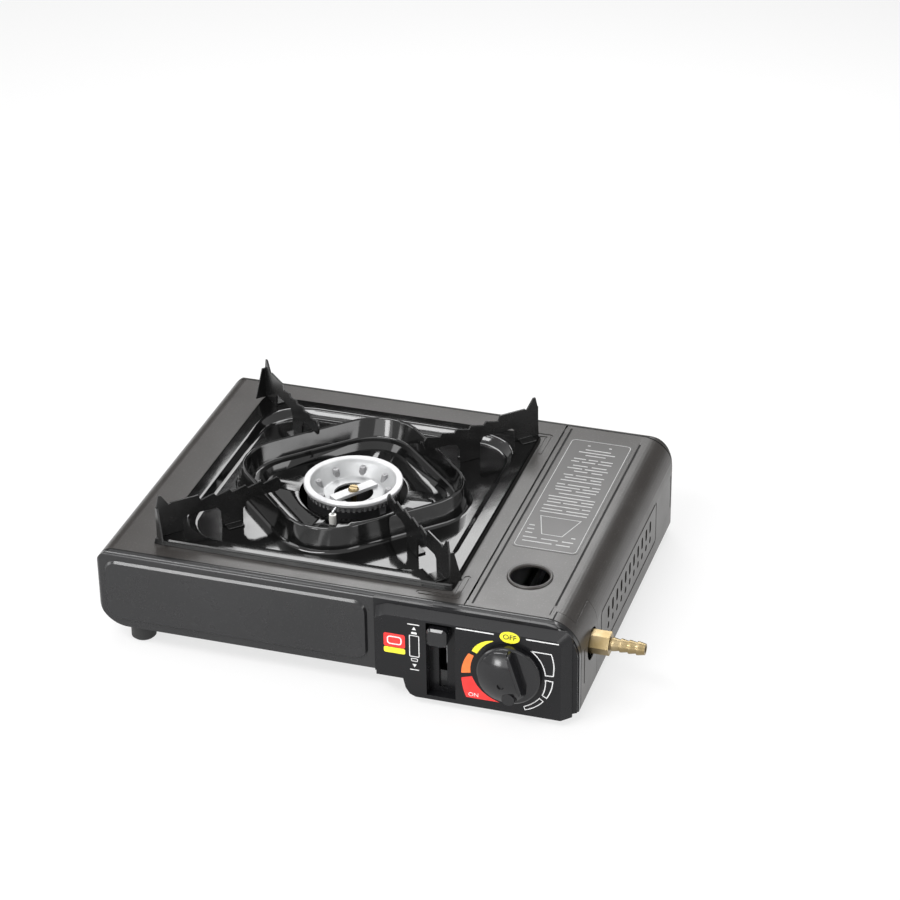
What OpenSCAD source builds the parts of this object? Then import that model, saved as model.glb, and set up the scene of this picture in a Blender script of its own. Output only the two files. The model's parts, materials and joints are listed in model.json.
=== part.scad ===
// Portable butane cassette stove with a drip tray, four pan supports, a hinged gas lid,
// a cartridge lock lever, a flame knob with a piezo striker and a side hose barb.
// X runs to the right, Y to the back, Z up. Lengths are in millimetres.

/* [Case] */
// Width of the case, without the hose barb
body_w = 345; // [338:1:360]
// Depth of the case, without the control panel
body_d = 264; // [256:1:280]
// Top of the case over the table
top_z = 75; // [74:0.5:80]
// Underside of the case below the burner
burner_floor_z = 15.7; // [12:0.1:18]
// Underside of the gas trough
trough_z = 5.5; // [5:0.1:6.5]
// Width of the gas trough, from the right side of the case
trough_w = 116.5; // [112:0.5:122]
// Thickness of the steel sheet
sheet = 0.8; // [0.6:0.1:1]
// Radius of the right shoulder, seen from the front
shoulder_r = 24; // [18:0.5:28]
// Radius of the top left edge
left_top_r = 12; // [6:0.5:14]
// Radius of the bottom left edge
left_bottom_r = 21; // [14:0.5:24]
// Radius of the rear corners, seen from above
rear_corner_r = 10; // [6:0.5:14]
// Radius of the top edges at the front and the back
edge_r = 3.5; // [2:0.5:5]
// Depth of the front and rear frames
frame_rim = 5; // [4:0.5:7]
// Height at which the top plate's left wall meets the base pan
side_seam_z = 40; // [38:1:50]
// Width of the gas lid's top
lid_w = 81; // [78:0.5:84]
// Bottom of the lid's side wall
lid_bottom_z = 8; // [7.5:0.1:9]

/* [Front] */
// Width of the raised field in the front
field_w = 190.7; // [170:0.1:195]
// Height of the raised field in the front
field_h = 46.7; // [40:0.1:48]
// Left margin of the raised field
field_margin = 6.2; // [5:0.1:10]
// Bottom of the raised field
field_z = 21.5; // [20:0.1:24]
// Corner radius of the raised field
field_r = 9; // [6:0.5:12]
// How far the raised field stands out
field_depth = 1.6; // [1:0.1:2.5]
// Width of the control panel
panel_w = 140.5; // [138:0.5:142]
// How far the control panel stands out of the front
panel_proud = 10; // [8:0.5:12]
// Wall of the control panel
panel_wall = 2; // [1.6:0.1:2.4]
// Width of the bevel on the control panel's sides
panel_bevel = 6; // [4:0.5:8]

/* [Drip tray] */
// Length of the drip tray's sides
tray_side = 216; // [208:1:218]
// Gap from the tray to the lid's seam
tray_gap = 12.2; // [10:0.1:14]
// Gap from the tray to the front of the case
tray_front_gap = 18; // [12:0.5:24]
// Height of the tray's flange over the case
tray_lift = 4.5; // [4:0.1:6]
// Thickness of the tray's sheet
tray_sheet = 0.8; // [0.6:0.1:1]
// Side of the well inside the flange
well_side = 194; // [188:1:196]
// Corner radius of the well
well_r = 34; // [28:1:40]
// Depth of the trough below the flange
well_depth = 5.6; // [4:0.1:6]
// Side of the wind ring, which stands turned by 45 degrees
ring_side = 133; // [128:1:136]
// Corner radius of the wind ring
ring_r = 35; // [30:1:40]
// Height of the wind ring over the flange
ring_rise = 11.5; // [9:0.1:12]
// Radius of the hole for the burner
tray_hole_r = 38.5; // [37.5:0.1:40]

/* [Pan supports] */
// Thickness of the pan supports
support_t = 1.4; // [1:0.1:2]
// Height of the pan line over the tray's flange
pan_rise = 23; // [20:0.5:26]
// Reach of a support's outer edge from the burner's centre
support_out = 149.5; // [146:0.5:150]
// Distance of a support's nose from the burner's centre
support_in = 57; // [50:0.5:60]
// Height of the spike over the pan line
spike_rise = 9; // [5:0.5:10]
// Number of teeth
tooth_count = 5; // [4:1:6]
// Depth of the notches
notch_depth = 2.6; // [1.5:0.1:3.5]
// Width of the end flange at its foot
end_flange_w = 9; // [6:0.5:11]

/* [Burner] */
// Radius of the burner cap
cap_r = 35.2; // [34:0.1:36]
// Top of the burner cap over the case
cap_rise = 8.4; // [7:0.1:10]
// Radius of the cap's bowl at its mouth
bowl_r = 30.3; // [29:0.1:31]
// Depth of the cap's bowl
bowl_depth = 10.4; // [9:0.1:11]
// Radius of the air opening in the bowl
air_hole_r = 14; // [12:0.1:15]
// Number of flame ports
port_count = 54; // [36:2:56]
// Number of nubs in the bowl
nub_count = 8; // [6:1:10]
// Underside of the burner body
burner_z = 45; // [42:0.5:48]
// Height of the mixing tube's axis
tube_z = 56; // [55:0.5:57]
// Outer radius of the mixing tube
tube_r = 8.5; // [7.5:0.1:9]
// Length of the mixing tube from the burner's centre
tube_end = 108; // [100:1:112]
// Radius of the gas pipe
pipe_r = 3; // [2.5:0.1:3.5]

/* [Gas bay] */
// Diameter of the gas cartridge
can_d = 67; // [66:0.5:67]
// Length of the gas cartridge with its collar
can_l = 184; // [180:1:185]
// Travel of the cartridge carriage
can_travel = 7; // [5:0.5:8]
// Radius of the regulator
regulator_r = 23; // [20:0.5:25]
// Rear face of the regulator, from the front of the case
regulator_depth = 58; // [56:0.5:60]
// Radius of the regulator's seat for the cartridge's valve
seat_r = 4.2; // [3.8:0.1:5]
// Depth of that seat
seat_depth = 8; // [6:0.5:10]
// Radius of the lid's finger hole
finger_r = 13.5; // [12:0.5:14.5]
// Distance of the finger hole from the front of the case
finger_from_front = 51; // [48:0.5:54]
// Number of vent columns in the lid's side
vent_count = 11; // [9:1:13]
// Pitch of the vent columns
vent_pitch = 11.6; // [10:0.1:12]

/* [Controls] */
// Distance of the knob's axis from the right side of the case
knob_from_right = 45; // [43:0.1:46]
// Height of the knob's axis
knob_z = 37.5; // [37:0.1:39]
// Radius of the knob's disc
knob_r = 22; // [20:0.5:23]
// Thickness of the knob's disc
knob_disc = 5; // [4:0.1:7]
// How far the grip stands out of the disc
grip_rise = 7; // [6:0.5:10]
// Tilt of the grip at rest, in degrees
grip_tilt = 17; // [0:1:20]
// Distance of the grip's ridge from the knob's axis
ridge_offset = 7; // [4:0.5:8]
// Turn of the knob from off to ignition, in degrees
knob_turn = 120; // [90:1:130]
// Radius of the striker cam
cam_r = 7; // [6:0.1:7.5]
// Offset of the striker cam
cam_offset = 2.5; // [2:0.1:3]
// Left edge of the lever's recess, from the right side of the case
recess_from_right = 103.5; // [102:0.5:104]
// Width of the lever's recess
recess_w = 20.3; // [19:0.1:21]
// Bottom of the lever's recess
recess_z = 8.2; // [8:0.1:10]
// Top of the lever's recess
recess_top_z = 66; // [64:0.5:66.5]
// Height of the lever's tab
tab_h = 14; // [12:0.5:15]
// Width of the lever's tab
tab_w = 14; // [12:0.5:15]
// Travel of the lever
lever_travel = 28; // [24:0.5:29]

/* [Hose barb] */
// Distance of the barb's axis from the front of the case
barb_from_front = 32; // [31:0.5:33]
// Height of the barb's axis
barb_z = 44.5; // [43:0.1:46]
// Reach of the barb past the side of the case
barb_reach = 37; // [34:0.5:42]
// Length of the hexagon outside the case
hex_out = 13; // [10:0.5:14]
// Width of the hexagon across its flats
hex_flats = 14.5; // [13:0.5:15]
// Radius over the barbs
barb_r = 4.75; // [4.5:0.05:5]
// Radius of the gas way through the barb
barb_bore_r = 2.5; // [2:0.1:3]
// Radius of the hole in the side of the case
barb_hole_r = 11.5; // [10:0.5:12]

/* [Feet] */
// Radius of the feet
foot_r = 8.7; // [7.5:0.1:9.5]
// Distance of the left feet from the left side of the case
foot_side = 25; // [23:0.5:30]
// Distance of the feet from the front and the back
foot_end = 16; // [14:0.5:20]
// Distance of the right feet from the right side of the case
right_foot_side = 22; // [20:0.5:24]

/* [Hidden] */
$fn = 64;

gap = 0.3;                                  // free gap between pieces that move apart
eps = 0.01;                                 // overlap that joins solids of one piece
side_x = body_w / 2;
front_y = -body_d / 2;
rear_y = body_d / 2;
inner_top = top_z - sheet;
floor_top = burner_floor_z + sheet;
trough_top = trough_z + sheet;
trough_x = side_x - trough_w;
seam_x = side_x - lid_w;
seam_gap = 1.4;

// drip tray and burner
tray_half = tray_side / 2;
tray_x = seam_x - tray_gap - tray_half;
tray_y = front_y + tray_front_gap + tray_half;
flange_z = top_z + tray_lift;
trough_floor_z = flange_z - well_depth;
ring_z = flange_z + ring_rise;
plateau_z = flange_z - 4.5;
gutter_z = plateau_z - 3;
cap_z = top_z + cap_rise;
cap_foot_z = cap_z - 7.6;

// gas bay
can_x = side_x - 9 - can_d / 2;
can_z = trough_top + can_d / 2 + 0.1;
regulator_y = front_y + regulator_depth;
regulator_len = 18;
can_back_y = regulator_y + can_travel + can_l;
shield_x = seam_x + 0.5;
shield_front_y = front_y + 36;
upstand_x = side_x - 5.9;
upstand_z = 22;

// fixed corner in front of the lid, over the shoulder
corner_x = side_x - shoulder_r + 4;
corner_y = front_y + 15;

// lid hinge
knuckle_r = 2.2;
base_knuckle_r = 1.7;
hinge_pin_r = 1;
hinge_x = side_x - sheet - knuckle_r;
hinge_z = lid_bottom_z + knuckle_r;
hinge_y = 70;
knuckle_l = 8;

// side hose barb
barb_y = front_y + barb_from_front;
barb_tip_x = side_x + barb_reach;
hex_start_x = side_x - 4.5;
swing_r = norm([barb_tip_x - hinge_x, barb_z + barb_r - hinge_z]) + 2;
cheek_y = barb_y + barb_hole_r + 1.5;

// knob, valve and striker
knob_x = side_x - knob_from_right;
panel_y = front_y - panel_proud;
panel_x = side_x - panel_w;
knob_back_y = panel_y - 0.4;
knob_face_y = knob_back_y - knob_disc;
knob_front_y = knob_face_y - grip_rise;
spindle_r = 4;
valve_front_y = front_y + 18;
valve_x = knob_x - 14;
valve_w = 32;
cam_y = front_y + 12;
cam_l = 6;
plunger_top_z = knob_z - cam_r + cam_offset - 0.2;
plunger_r = 3;
piezo_top_z = plunger_top_z - 5.3;

// gas line from the valve to the burner
valve_out_y = front_y + 28;
line_angle = atan2(valve_out_y - tray_y, valve_x - tray_x);
line_len = norm([valve_x - tray_x, valve_out_y - tray_y]);

// lock lever
recess_x = side_x - recess_from_right;
recess_floor_y = front_y - 2;
tab_top_z = recess_top_z - 2;
arm_x = recess_x + 7.8;
arm_w = 3;
arm_z = tab_top_z - 11;
cam_plate_z = trough_top + 1 + lever_travel;
cam_plate_top = inner_top - 2.5;
pin_z = cam_plate_z + 4;
pin_y = front_y + 22;
pin_r = 2;
rail_x = can_x - can_d / 2 + 2.5;
rail_w = 4;
rail_z = trough_top + gap;
rail_h = 6;

// the stove's footprint is centred on the origin
mid_x = (barb_tip_x - side_x) / 2;
mid_y = (knob_front_y + rear_y) / 2;

module place() {
    translate([-mid_x, -mid_y, 0]) children();
}

// ---- shared shapes ----

module round_rect(w, h, r) {
    square([w - 2 * r, h], center = true);
    square([w, h - 2 * r], center = true);
    for (sx = [-1, 1], sy = [-1, 1])
        translate([sx * (w / 2 - r), sy * (h / 2 - r)]) circle(r);
}

// the part of a square corner outside its round: sx and sy point into the material
module corner_waste(at, r, sx, sy) {
    translate(at) difference() {
        translate([sx > 0 ? -1 : -r, sy > 0 ? -1 : -r]) square(r + 1);
        translate([sx * r, sy * r]) circle(r);
    }
}

// outline across the case, inset by s: X to the right, Z up
module case_section(s) {
    difference() {
        union() {
            translate([-side_x + s, burner_floor_z + s])
                square([body_w - 2 * s, top_z - burner_floor_z - 2 * s]);
            translate([trough_x + s, trough_z + s])
                square([trough_w - 2 * s, top_z - trough_z - 2 * s]);
        }
        corner_waste([-side_x + s, top_z - s], left_top_r - s, 1, -1);
        corner_waste([side_x - s, top_z - s], shoulder_r - s, -1, -1);
        corner_waste([-side_x + s, burner_floor_z + s], left_bottom_r - s, 1, 1);
        corner_waste([trough_x + s, trough_z + s], 6 - s, 1, 1);
        translate([side_x - s, trough_z + s])
            polygon([[1, -1], [1, 2.9], [0, 2.5], [-5.9, 0], [-8.3, -1]]);
    }
}

// outline from above, inset by s
module case_plan(s) {
    difference() {
        square([body_w - 2 * s, body_d - 2 * s], center = true);
        corner_waste([-side_x + s, rear_y - s], rear_corner_r - s, 1, -1);
        corner_waste([side_x - s, rear_y - s], rear_corner_r - s, -1, -1);
        corner_waste([-side_x + s, front_y + s], edge_r - s, 1, 1);
    }
}

// outline from the side, inset by s: Y to the back, Z up
module case_profile(s) {
    difference() {
        translate([front_y + s, 0]) square([body_d - 2 * s, top_z - s]);
        corner_waste([front_y + s, top_z - s], edge_r - s, 1, -1);
        corner_waste([rear_y - s, top_z - s], edge_r - s, -1, -1);
    }
}

module case_solid(s) {
    intersection() {
        rotate([90, 0, 0]) linear_extrude(body_d + 10, center = true) case_section(s);
        linear_extrude(top_z + 10) case_plan(s);
        rotate([90, 0, 90]) linear_extrude(body_w + 10, center = true) case_profile(s);
    }
}

module case_shell() {
    difference() {
        case_solid(0);
        case_solid(sheet);
    }
}

// a box from its low corner to its high corner
module span(low, high) {
    translate(low) cube(high - low);
}

// a cylinder along Y between two depths
module rod_y(x, z, y0, y1, r) {
    translate([x, y0, z]) rotate([-90, 0, 0]) cylinder(h = y1 - y0, r = r);
}

// a cylinder along X between two places
module rod_x(y, z, x0, x1, r) {
    translate([x0, y, z]) rotate([0, 90, 0]) cylinder(h = x1 - x0, r = r);
}

// turns what is drawn along +X into the gas line's direction, from the burner's centre
module on_gas_line() {
    translate([tray_x, tray_y, tube_z]) rotate([0, 0, line_angle]) children();
}

module line_rod(from, to, r) {
    translate([from, 0, 0]) rotate([0, 90, 0]) cylinder(h = to - from, r = r);
}

// the inner lip of an end frame, from one depth to another
module frame_lip(y0, y1, outer, inner) {
    intersection() {
        difference() {
            case_solid(outer);
            case_solid(inner);
            span([-side_x + rear_corner_r, front_y, 0],
                [side_x - shoulder_r, rear_y, top_z - edge_r - 2]);
            span([trough_x, front_y, 0], [side_x - rear_corner_r, rear_y, top_z - shoulder_r - 2]);
        }
        union() {
            span([-side_x - 1, y0, side_seam_z], [side_x + 1, y1, top_z + 1]);
            span([-side_x - 1, y0, burner_floor_z - 1], [trough_x, y1, side_seam_z + eps]);
        }
    }
}

// ---- case ----

module base_pan() place() color("#4a4745") {
    inner_y = rear_y - frame_rim;
    difference() {
        union() {
            intersection() {
                case_shell();
                union() {
                    span([-side_x - 1, -inner_y, 0], [trough_x + 10, inner_y, side_seam_z]);
                    span([trough_x, -inner_y, 0], [upstand_x, inner_y, trough_top]);
                }
                span([-side_x - 1, -inner_y, 0], [upstand_x, inner_y, side_seam_z]);
            }
            span([upstand_x - sheet, -inner_y, trough_z], [upstand_x, inner_y, upstand_z]);
            for (s = [-1, 1]) base_knuckle(s * hinge_y);
        }
        for (s = [-1, 1])
            rod_y(hinge_x, hinge_z, s * hinge_y - knuckle_l - 1, s * hinge_y + 1, hinge_pin_r + 0.02);
        for (p = foot_places()) translate([p[0], p[1], -1]) cylinder(h = 40, r = 2);
        for (i = [-3:3])
            translate([tray_x + i * 14, tray_y, burner_floor_z - 1])
                linear_extrude(sheet + 2) round_rect(5, 60, 2.4);
    }
}

module base_knuckle(y) {
    rod_y(hinge_x, hinge_z, y - knuckle_l, y - 0.2, base_knuckle_r);
    span([upstand_x - eps, y - knuckle_l, hinge_z - base_knuckle_r],
        [hinge_x, y - 0.2, hinge_z + base_knuckle_r]);
}

module top_plate() place() color("#5d5956") {
    inner_y = rear_y - frame_rim;
    difference() {
        union() {
            intersection() {
                case_shell();
                span([-side_x - 1, -inner_y, side_seam_z], [seam_x - seam_gap / 2, inner_y, top_z + 1]);
            }
            translate([tray_x, tray_y, top_z - 5])
                linear_extrude(5 - sheet + eps) round_rect(tray_opening(), tray_opening(), well_r + 4);
        }
        for (s = [-1, 1]) corner_bead(s);
        translate([tray_x, tray_y, top_z - 6]) linear_extrude(10)
            round_rect(tray_opening() - 2 * sheet, tray_opening() - 2 * sheet, well_r + 4 - sheet);
    }
}

// side of the opening that the tray's well drops into
function tray_opening() = well_side + 8;

// the outline of an L-shaped bead pressed beside a corner of the tray: s is -1 in front, 1 behind
module corner_bead(s) {
    bead_x = seam_x - tray_gap / 2 - 2;
    bead_y = tray_y + s * (tray_half + 6);
    translate([0, 0, top_z - 0.45]) linear_extrude(1) difference() {
        corner_bead_form(bead_x, bead_y, s, 0);
        corner_bead_form(bead_x, bead_y, s, 1.3);
    }
}

module corner_bead_form(x, y, s, inset) {
    w = 5 - 2 * inset;
    l = 30 - 2 * inset;
    translate([x - 13, y]) round_rect(l, w, w / 2 - 0.05);
    translate([x, y - s * 13]) round_rect(w, l, w / 2 - 0.05);
}

module end_frame_shell(s) {
    intersection() {
        case_shell();
        if (s < 0) span([-side_x - 1, front_y - 1, 0], [side_x + 1, front_y + frame_rim - eps, top_z + 1]);
        else span([-side_x - 1, rear_y - frame_rim + eps, 0], [side_x + 1, rear_y + 1, top_z + 1]);
    }
}

module front_frame() place() color("#48484a") {
    field_x = -side_x + field_margin + field_w / 2;
    field_mid_z = field_z + field_h / 2;
    lip_y = front_y + frame_rim;
    difference() {
        union() {
            difference() {
                end_frame_shell(-1);
                translate([field_x, front_y, field_mid_z]) rotate([90, 0, 0])
                    linear_extrude(4, center = true)
                        round_rect(field_w - 2 * sheet, field_h - 2 * sheet, field_r - sheet);
            }
            translate([field_x, front_y + sheet - eps, field_mid_z]) rotate([90, 0, 0]) difference() {
                hull() {
                    linear_extrude(sheet) round_rect(field_w, field_h, field_r);
                    linear_extrude(field_depth + sheet)
                        round_rect(field_w - 2.8, field_h - 2.8, field_r - 1.4);
                }
                translate([0, 0, -1]) linear_extrude(field_depth + 1)
                    round_rect(field_w - 2 * sheet - 2.8, field_h - 2 * sheet - 2.8,
                        field_r - sheet - 1.4);
            }
            frame_lip(front_y + sheet - eps, lip_y, sheet - eps, 2 * sheet + gap);
            frame_lip(lip_y - eps, lip_y + 8, sheet + gap, 2 * sheet + gap);
        }
        rod_y(knob_x, knob_z, front_y - 2, front_y + 3, 10);
        span([arm_x - 1.5, front_y - 2, arm_z - lever_travel - 1.5],
            [arm_x + arm_w + 1.5, front_y + 3, tab_top_z]);
    }
}

module rear_frame() place() color("#4a4745") {
    lip_y = rear_y - frame_rim;
    difference() {
        union() {
            end_frame_shell(1);
            frame_lip(lip_y, rear_y - sheet + eps, sheet - eps, 2 * sheet + gap);
            frame_lip(lip_y - 8, lip_y + eps, sheet + gap, 2 * sheet + gap);
        }
        for (i = [0:9])
            translate([tray_x - 58.5 + i * 13, rear_y, 50]) rotate([90, 0, 0])
                linear_extrude(6, center = true) round_rect(3, 18, 1.45);
    }
}

// the fixed corner of the side wall that the hose barb comes through
module side_cheek() place() color("#5d5956") {
    inner_y = front_y + frame_rim;
    difference() {
        intersection() {
            case_shell();
            union() {
                intersection() {
                    span([side_x - shoulder_r - 4, inner_y, lid_bottom_z],
                        [side_x + 1, cheek_y - gap, top_z + 1]);
                    rod_y(hinge_x, hinge_z, inner_y - 1, cheek_y + 1, swing_r - gap);
                }
                span([corner_x, inner_y, lid_bottom_z], [side_x + 1, corner_y - gap, top_z + 1]);
            }
        }
        rod_x(barb_y, barb_z - 2, side_x - 5, side_x + 5, barb_hole_r);
        side_line(-119);
    }
    span([upstand_x - eps, inner_y, trough_top + 6], [side_x - sheet + eps, cheek_y - 2, trough_top + 7]);
    span([upstand_x, inner_y, trough_top + 6], [upstand_x + sheet, cheek_y - 2, upstand_z]);
}

module lid_knuckle(y) {
    rod_y(hinge_x, hinge_z, y + 0.2, y + knuckle_l, knuckle_r);
    span([hinge_x, y + 0.2, lid_bottom_z], [side_x - sheet + eps, y + knuckle_l, hinge_z + knuckle_r]);
}

module gas_lid() place() color("#5d5956") {
    inner_y = rear_y - frame_rim - gap;
    finger_y = front_y + finger_from_front;
    difference() {
        union() {
            difference() {
                intersection() {
                    case_shell();
                    span([seam_x + seam_gap / 2, -inner_y, lid_bottom_z], [side_x + 1, inner_y, top_z + 1]);
                }
                intersection() {
                    span([side_x - shoulder_r - 5, front_y, 0], [side_x + 2, cheek_y, top_z + 2]);
                    rod_y(hinge_x, hinge_z, front_y, cheek_y, swing_r);
                }
                span([corner_x - gap, front_y, 0], [side_x + 2, corner_y, top_z + 2]);
                span([hinge_x - 1, -inner_y - 1, lid_bottom_z - 1],
                    [side_x - sheet, inner_y + 1, lid_bottom_z + 1]);
            }
            translate([can_x - 6.5, finger_y, top_z + 0.2]) rotate_extrude()
                translate([finger_r + 1.1, 0]) circle(1.2);
            for (s = [-1, 1]) lid_knuckle(s * hinge_y);
        }
        translate([can_x - 6.5, finger_y, top_z - 5]) cylinder(h = 10, r = finger_r);
        for (s = [-1, 1])
            rod_y(hinge_x, hinge_z, s * hinge_y - 1, s * hinge_y + knuckle_l + 1, hinge_pin_r + 0.06);
        for (i = [0:vent_count - 1]) {
            vent_y = (i - (vent_count - 1) / 2) * vent_pitch + 1;
            side_vent(vent_y, 41, 9.4);
            side_vent(vent_y, 30.4, 5);
        }
        side_groove();
        side_line(120);
        top_groove(seam_x + 4.5, 3 - inner_y, inner_y - 3);
        top_groove(side_x - shoulder_r + 1.5, corner_y + 6, inner_y - 12);
    }
}

// a line pressed into the lid's top
module top_groove(x, y0, y1) {
    translate([x, (y0 + y1) / 2, top_z - 0.45]) linear_extrude(1) round_rect(1.6, y1 - y0, 0.79);
}

module side_vent(y, z, h) {
    translate([side_x, y, z]) rotate([90, 0, 90]) linear_extrude(6, center = true)
        round_rect(4.6, h, 2.2);
}

// the pressed frame round the vents
module side_groove() {
    translate([side_x, 0, 36]) rotate([90, 0, 90]) linear_extrude(0.9, center = true) difference() {
        round_rect(154, 34, 4);
        round_rect(150.4, 30.4, 2.4);
    }
}

// a short upright line pressed into the side wall
module side_line(y) {
    translate([side_x, y, 36]) cube([0.9, 1.8, 27], center = true);
}

module lid_label() place() color("#8a8a8c") {
    label_w = 47;
    label_l = 156;
    translate([can_x - 7, front_y + 164, top_z]) linear_extrude(0.2)
        round_rect(label_w, label_l, 4);
}

module lid_hinge_pins() place() color("silver") {
    for (s = [-1, 1]) {
        y = s * hinge_y;
        rod_y(hinge_x, hinge_z, y - knuckle_l - 0.2, y + knuckle_l + 0.4, hinge_pin_r);
        rod_y(hinge_x, hinge_z, y - knuckle_l - 1, y - knuckle_l - 0.1, 1.6);
        rod_y(hinge_x, hinge_z, y + knuckle_l + 0.3, y + knuckle_l + 1.1, 1.6);
    }
}

module heat_shield() place() color("#8f9194") {
    inner_y = rear_y - frame_rim - 9;
    flange_top = inner_top;
    difference() {
        union() {
            span([shield_x, shield_front_y, trough_top],
                [shield_x + sheet, inner_y, flange_top - sheet]);
            span([shield_x - 10, shield_front_y, trough_top],
                [shield_x + eps, inner_y, trough_top + sheet]);
            span([seam_x - 8, shield_front_y, flange_top - sheet],
                [seam_x - seam_gap, inner_y, flange_top]);
            span([seam_x - 2, shield_front_y, flange_top - sheet - gap],
                [seam_x + 6, inner_y, flange_top - gap]);
        }
        on_gas_line() line_rod(line_len - 60, line_len, pipe_r + 1.2);
        for (i = [-3:4]) rod_x(i * 24, can_z + 6, shield_x - 2, shield_x + 3, 5);
    }
}

// ---- control panel and controls ----

// the raised block of the panel, inset by s: two convex blocks with bevelled tops and sides
module panel_form(s) {
    face_y = panel_y + s;
    left_x = panel_x + 1.5 + s;
    right_x = side_x - 10 - s;
    flare_x = right_x + panel_bevel;
    top = top_z - 3.2 - s;
    face_top = top - 4.2;
    low = burner_floor_z + 2.8 + s;
    hull() {
        span([left_x, face_y, low], [trough_x + 8, face_y + 1, face_top - 4]);
        span([left_x + 7, face_y, low], [trough_x + 8, face_y + 1, face_top]);
        span([panel_x + s, front_y - 3, burner_floor_z + 0.8 + s], [trough_x + 8, front_y - 2, top - 3]);
        span([left_x + 6, front_y - 3, low], [trough_x + 8, front_y - 2, top]);
    }
    hull() {
        for (step = panel_step)
            span([trough_x + step[0] + s, face_y, trough_z + step[1] + s],
                [right_x, face_y + 1, face_top - 5]);
        span([trough_x + panel_step[3][0] + s, face_y, low], [right_x - 3, face_y + 1, face_top]);
        for (step = panel_step)
            span([trough_x + step[0] - 2 + s, front_y - 3, trough_z + step[1] - 0.4 + s],
                [flare_x, front_y - 2, top - 5]);
        span([trough_x + panel_step[3][0] - 2 + s, front_y - 3, low], [flare_x - 4, front_y - 2, top]);
    }
}

// corners of the panel's step beside the gas trough: from the trough's wall, from its underside
panel_step = [[5, -0.4], [1, 1.3], [-2, 6], [-3.6, burner_floor_z + 2.8 - trough_z]];

module control_panel() place() color("#222224") {
    difference() {
        union() {
            difference() {
                union() {
                    panel_form(0);
                    intersection() {
                        translate([0, front_y, 0]) rotate([90, 0, 0]) linear_extrude(2.6) case_section(0.6);
                        span([panel_x - 2, front_y - 4, 0], [side_x + 1, front_y, top_z]);
                    }
                }
                panel_form(panel_wall);
                intersection() {
                    translate([0, front_y + 0.2, 0]) rotate([90, 0, 0]) linear_extrude(2.4) case_section(3);
                    span([panel_x + 2, front_y - 4, 0], [side_x - 8, front_y + 1, top_z - 5]);
                }
            }
            span([recess_x - 1.6, panel_y + 0.5, recess_z - 1],
                [recess_x + recess_w + 1.6, front_y - 0.6, recess_top_z + 1.4]);
        }
        span([recess_x, panel_y - 1, recess_z], [recess_x + recess_w, recess_floor_y, recess_top_z]);
        span([arm_x - 1.4, panel_y, recess_z + 3], [arm_x + arm_w + 1.4, front_y, tab_top_z]);
        rod_y(knob_x, knob_z, panel_y - 2, front_y + 1, 9);
    }
}

module knob() place() color("#1b1b1d") {
    socket_y = knob_face_y + 2;
    difference() {
        union() {
            rod_y(knob_x, knob_z, knob_face_y + 1.2, knob_back_y, knob_r);
            translate([knob_x, knob_face_y + 1.2, knob_z]) rotate([90, 0, 0])
                cylinder(h = 1.2, r1 = knob_r, r2 = knob_r - 1.6);
            rod_y(knob_x, knob_z, knob_back_y - eps, front_y - 4, 7.8);
            translate([knob_x, knob_face_y + eps, knob_z]) rotate([90, -grip_tilt, 0]) knob_grip();
        }
        rod_y(knob_x, knob_z, socket_y, front_y, 3.02);
    }
}

// the grip, standing up in Z: a dome that ends in a ridge along Y, with a lobe and a dimple
module knob_grip() {
    dome_r = knob_r - 2;
    dome_h = grip_rise - 0.5;
    ball_r = (dome_r * dome_r + dome_h * dome_h) / (2 * dome_h);
    dome_x = -4;
    difference() {
        union() {
            intersection() {
                translate([dome_x, 0, dome_h - ball_r]) sphere(ball_r);
                cylinder(h = grip_rise, r = knob_r - 1.8);
                span([-knob_r, -knob_r, 0], [ridge_offset, knob_r, grip_rise]);
            }
            translate([dome_x + 1, 7 - knob_r, 0]) cylinder(h = grip_rise - 2, r1 = 5.6, r2 = 4.4);
        }
        translate([dome_x - 0.5, -3.5, dome_h - 1.6]) cylinder(h = 4, r = 2.4);
    }
    hull() {
        translate([ridge_offset, 2, 0]) linear_extrude(0.5) round_rect(4, 2 * knob_r - 9, 1.9);
        translate([ridge_offset, 3, 0]) linear_extrude(grip_rise - 0.8)
            round_rect(2.8, 2 * knob_r - 13, 1.3);
        translate([ridge_offset, 3, 0]) linear_extrude(grip_rise) round_rect(1.6, 2 * knob_r - 15, 0.7);
    }
}

module valve_spindle() place() color("#c9a45a") {
    rod_y(knob_x, knob_z, knob_face_y + 2.2, front_y + 2, 3);
    rod_y(knob_x, knob_z, front_y + 2 - eps, valve_front_y + 15, spindle_r);
    rod_y(knob_x, knob_z + cam_offset, cam_y - cam_l / 2, cam_y + cam_l / 2, cam_r);
}

module lock_lever() place() color("#1b1b1d") {
    tab_back = recess_floor_y - 1;
    tab_l = tab_back - panel_y + 4.5;
    translate([recess_x + 1.5 + tab_w / 2, tab_back, tab_top_z - tab_h / 2]) rotate([90, 0, 0]) hull() {
        linear_extrude(tab_l - 1.5) round_rect(tab_w, tab_h, 3);
        linear_extrude(tab_l) round_rect(tab_w - 3, tab_h - 3, 2);
    }
    span([arm_x, tab_back - eps, arm_z], [arm_x + arm_w, front_y + 9, arm_z + 9]);
    difference() {
        span([arm_x, front_y + 8, cam_plate_z], [arm_x + arm_w, pin_y + 7, cam_plate_top]);
        lever_cam_slot();
    }
}

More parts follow.
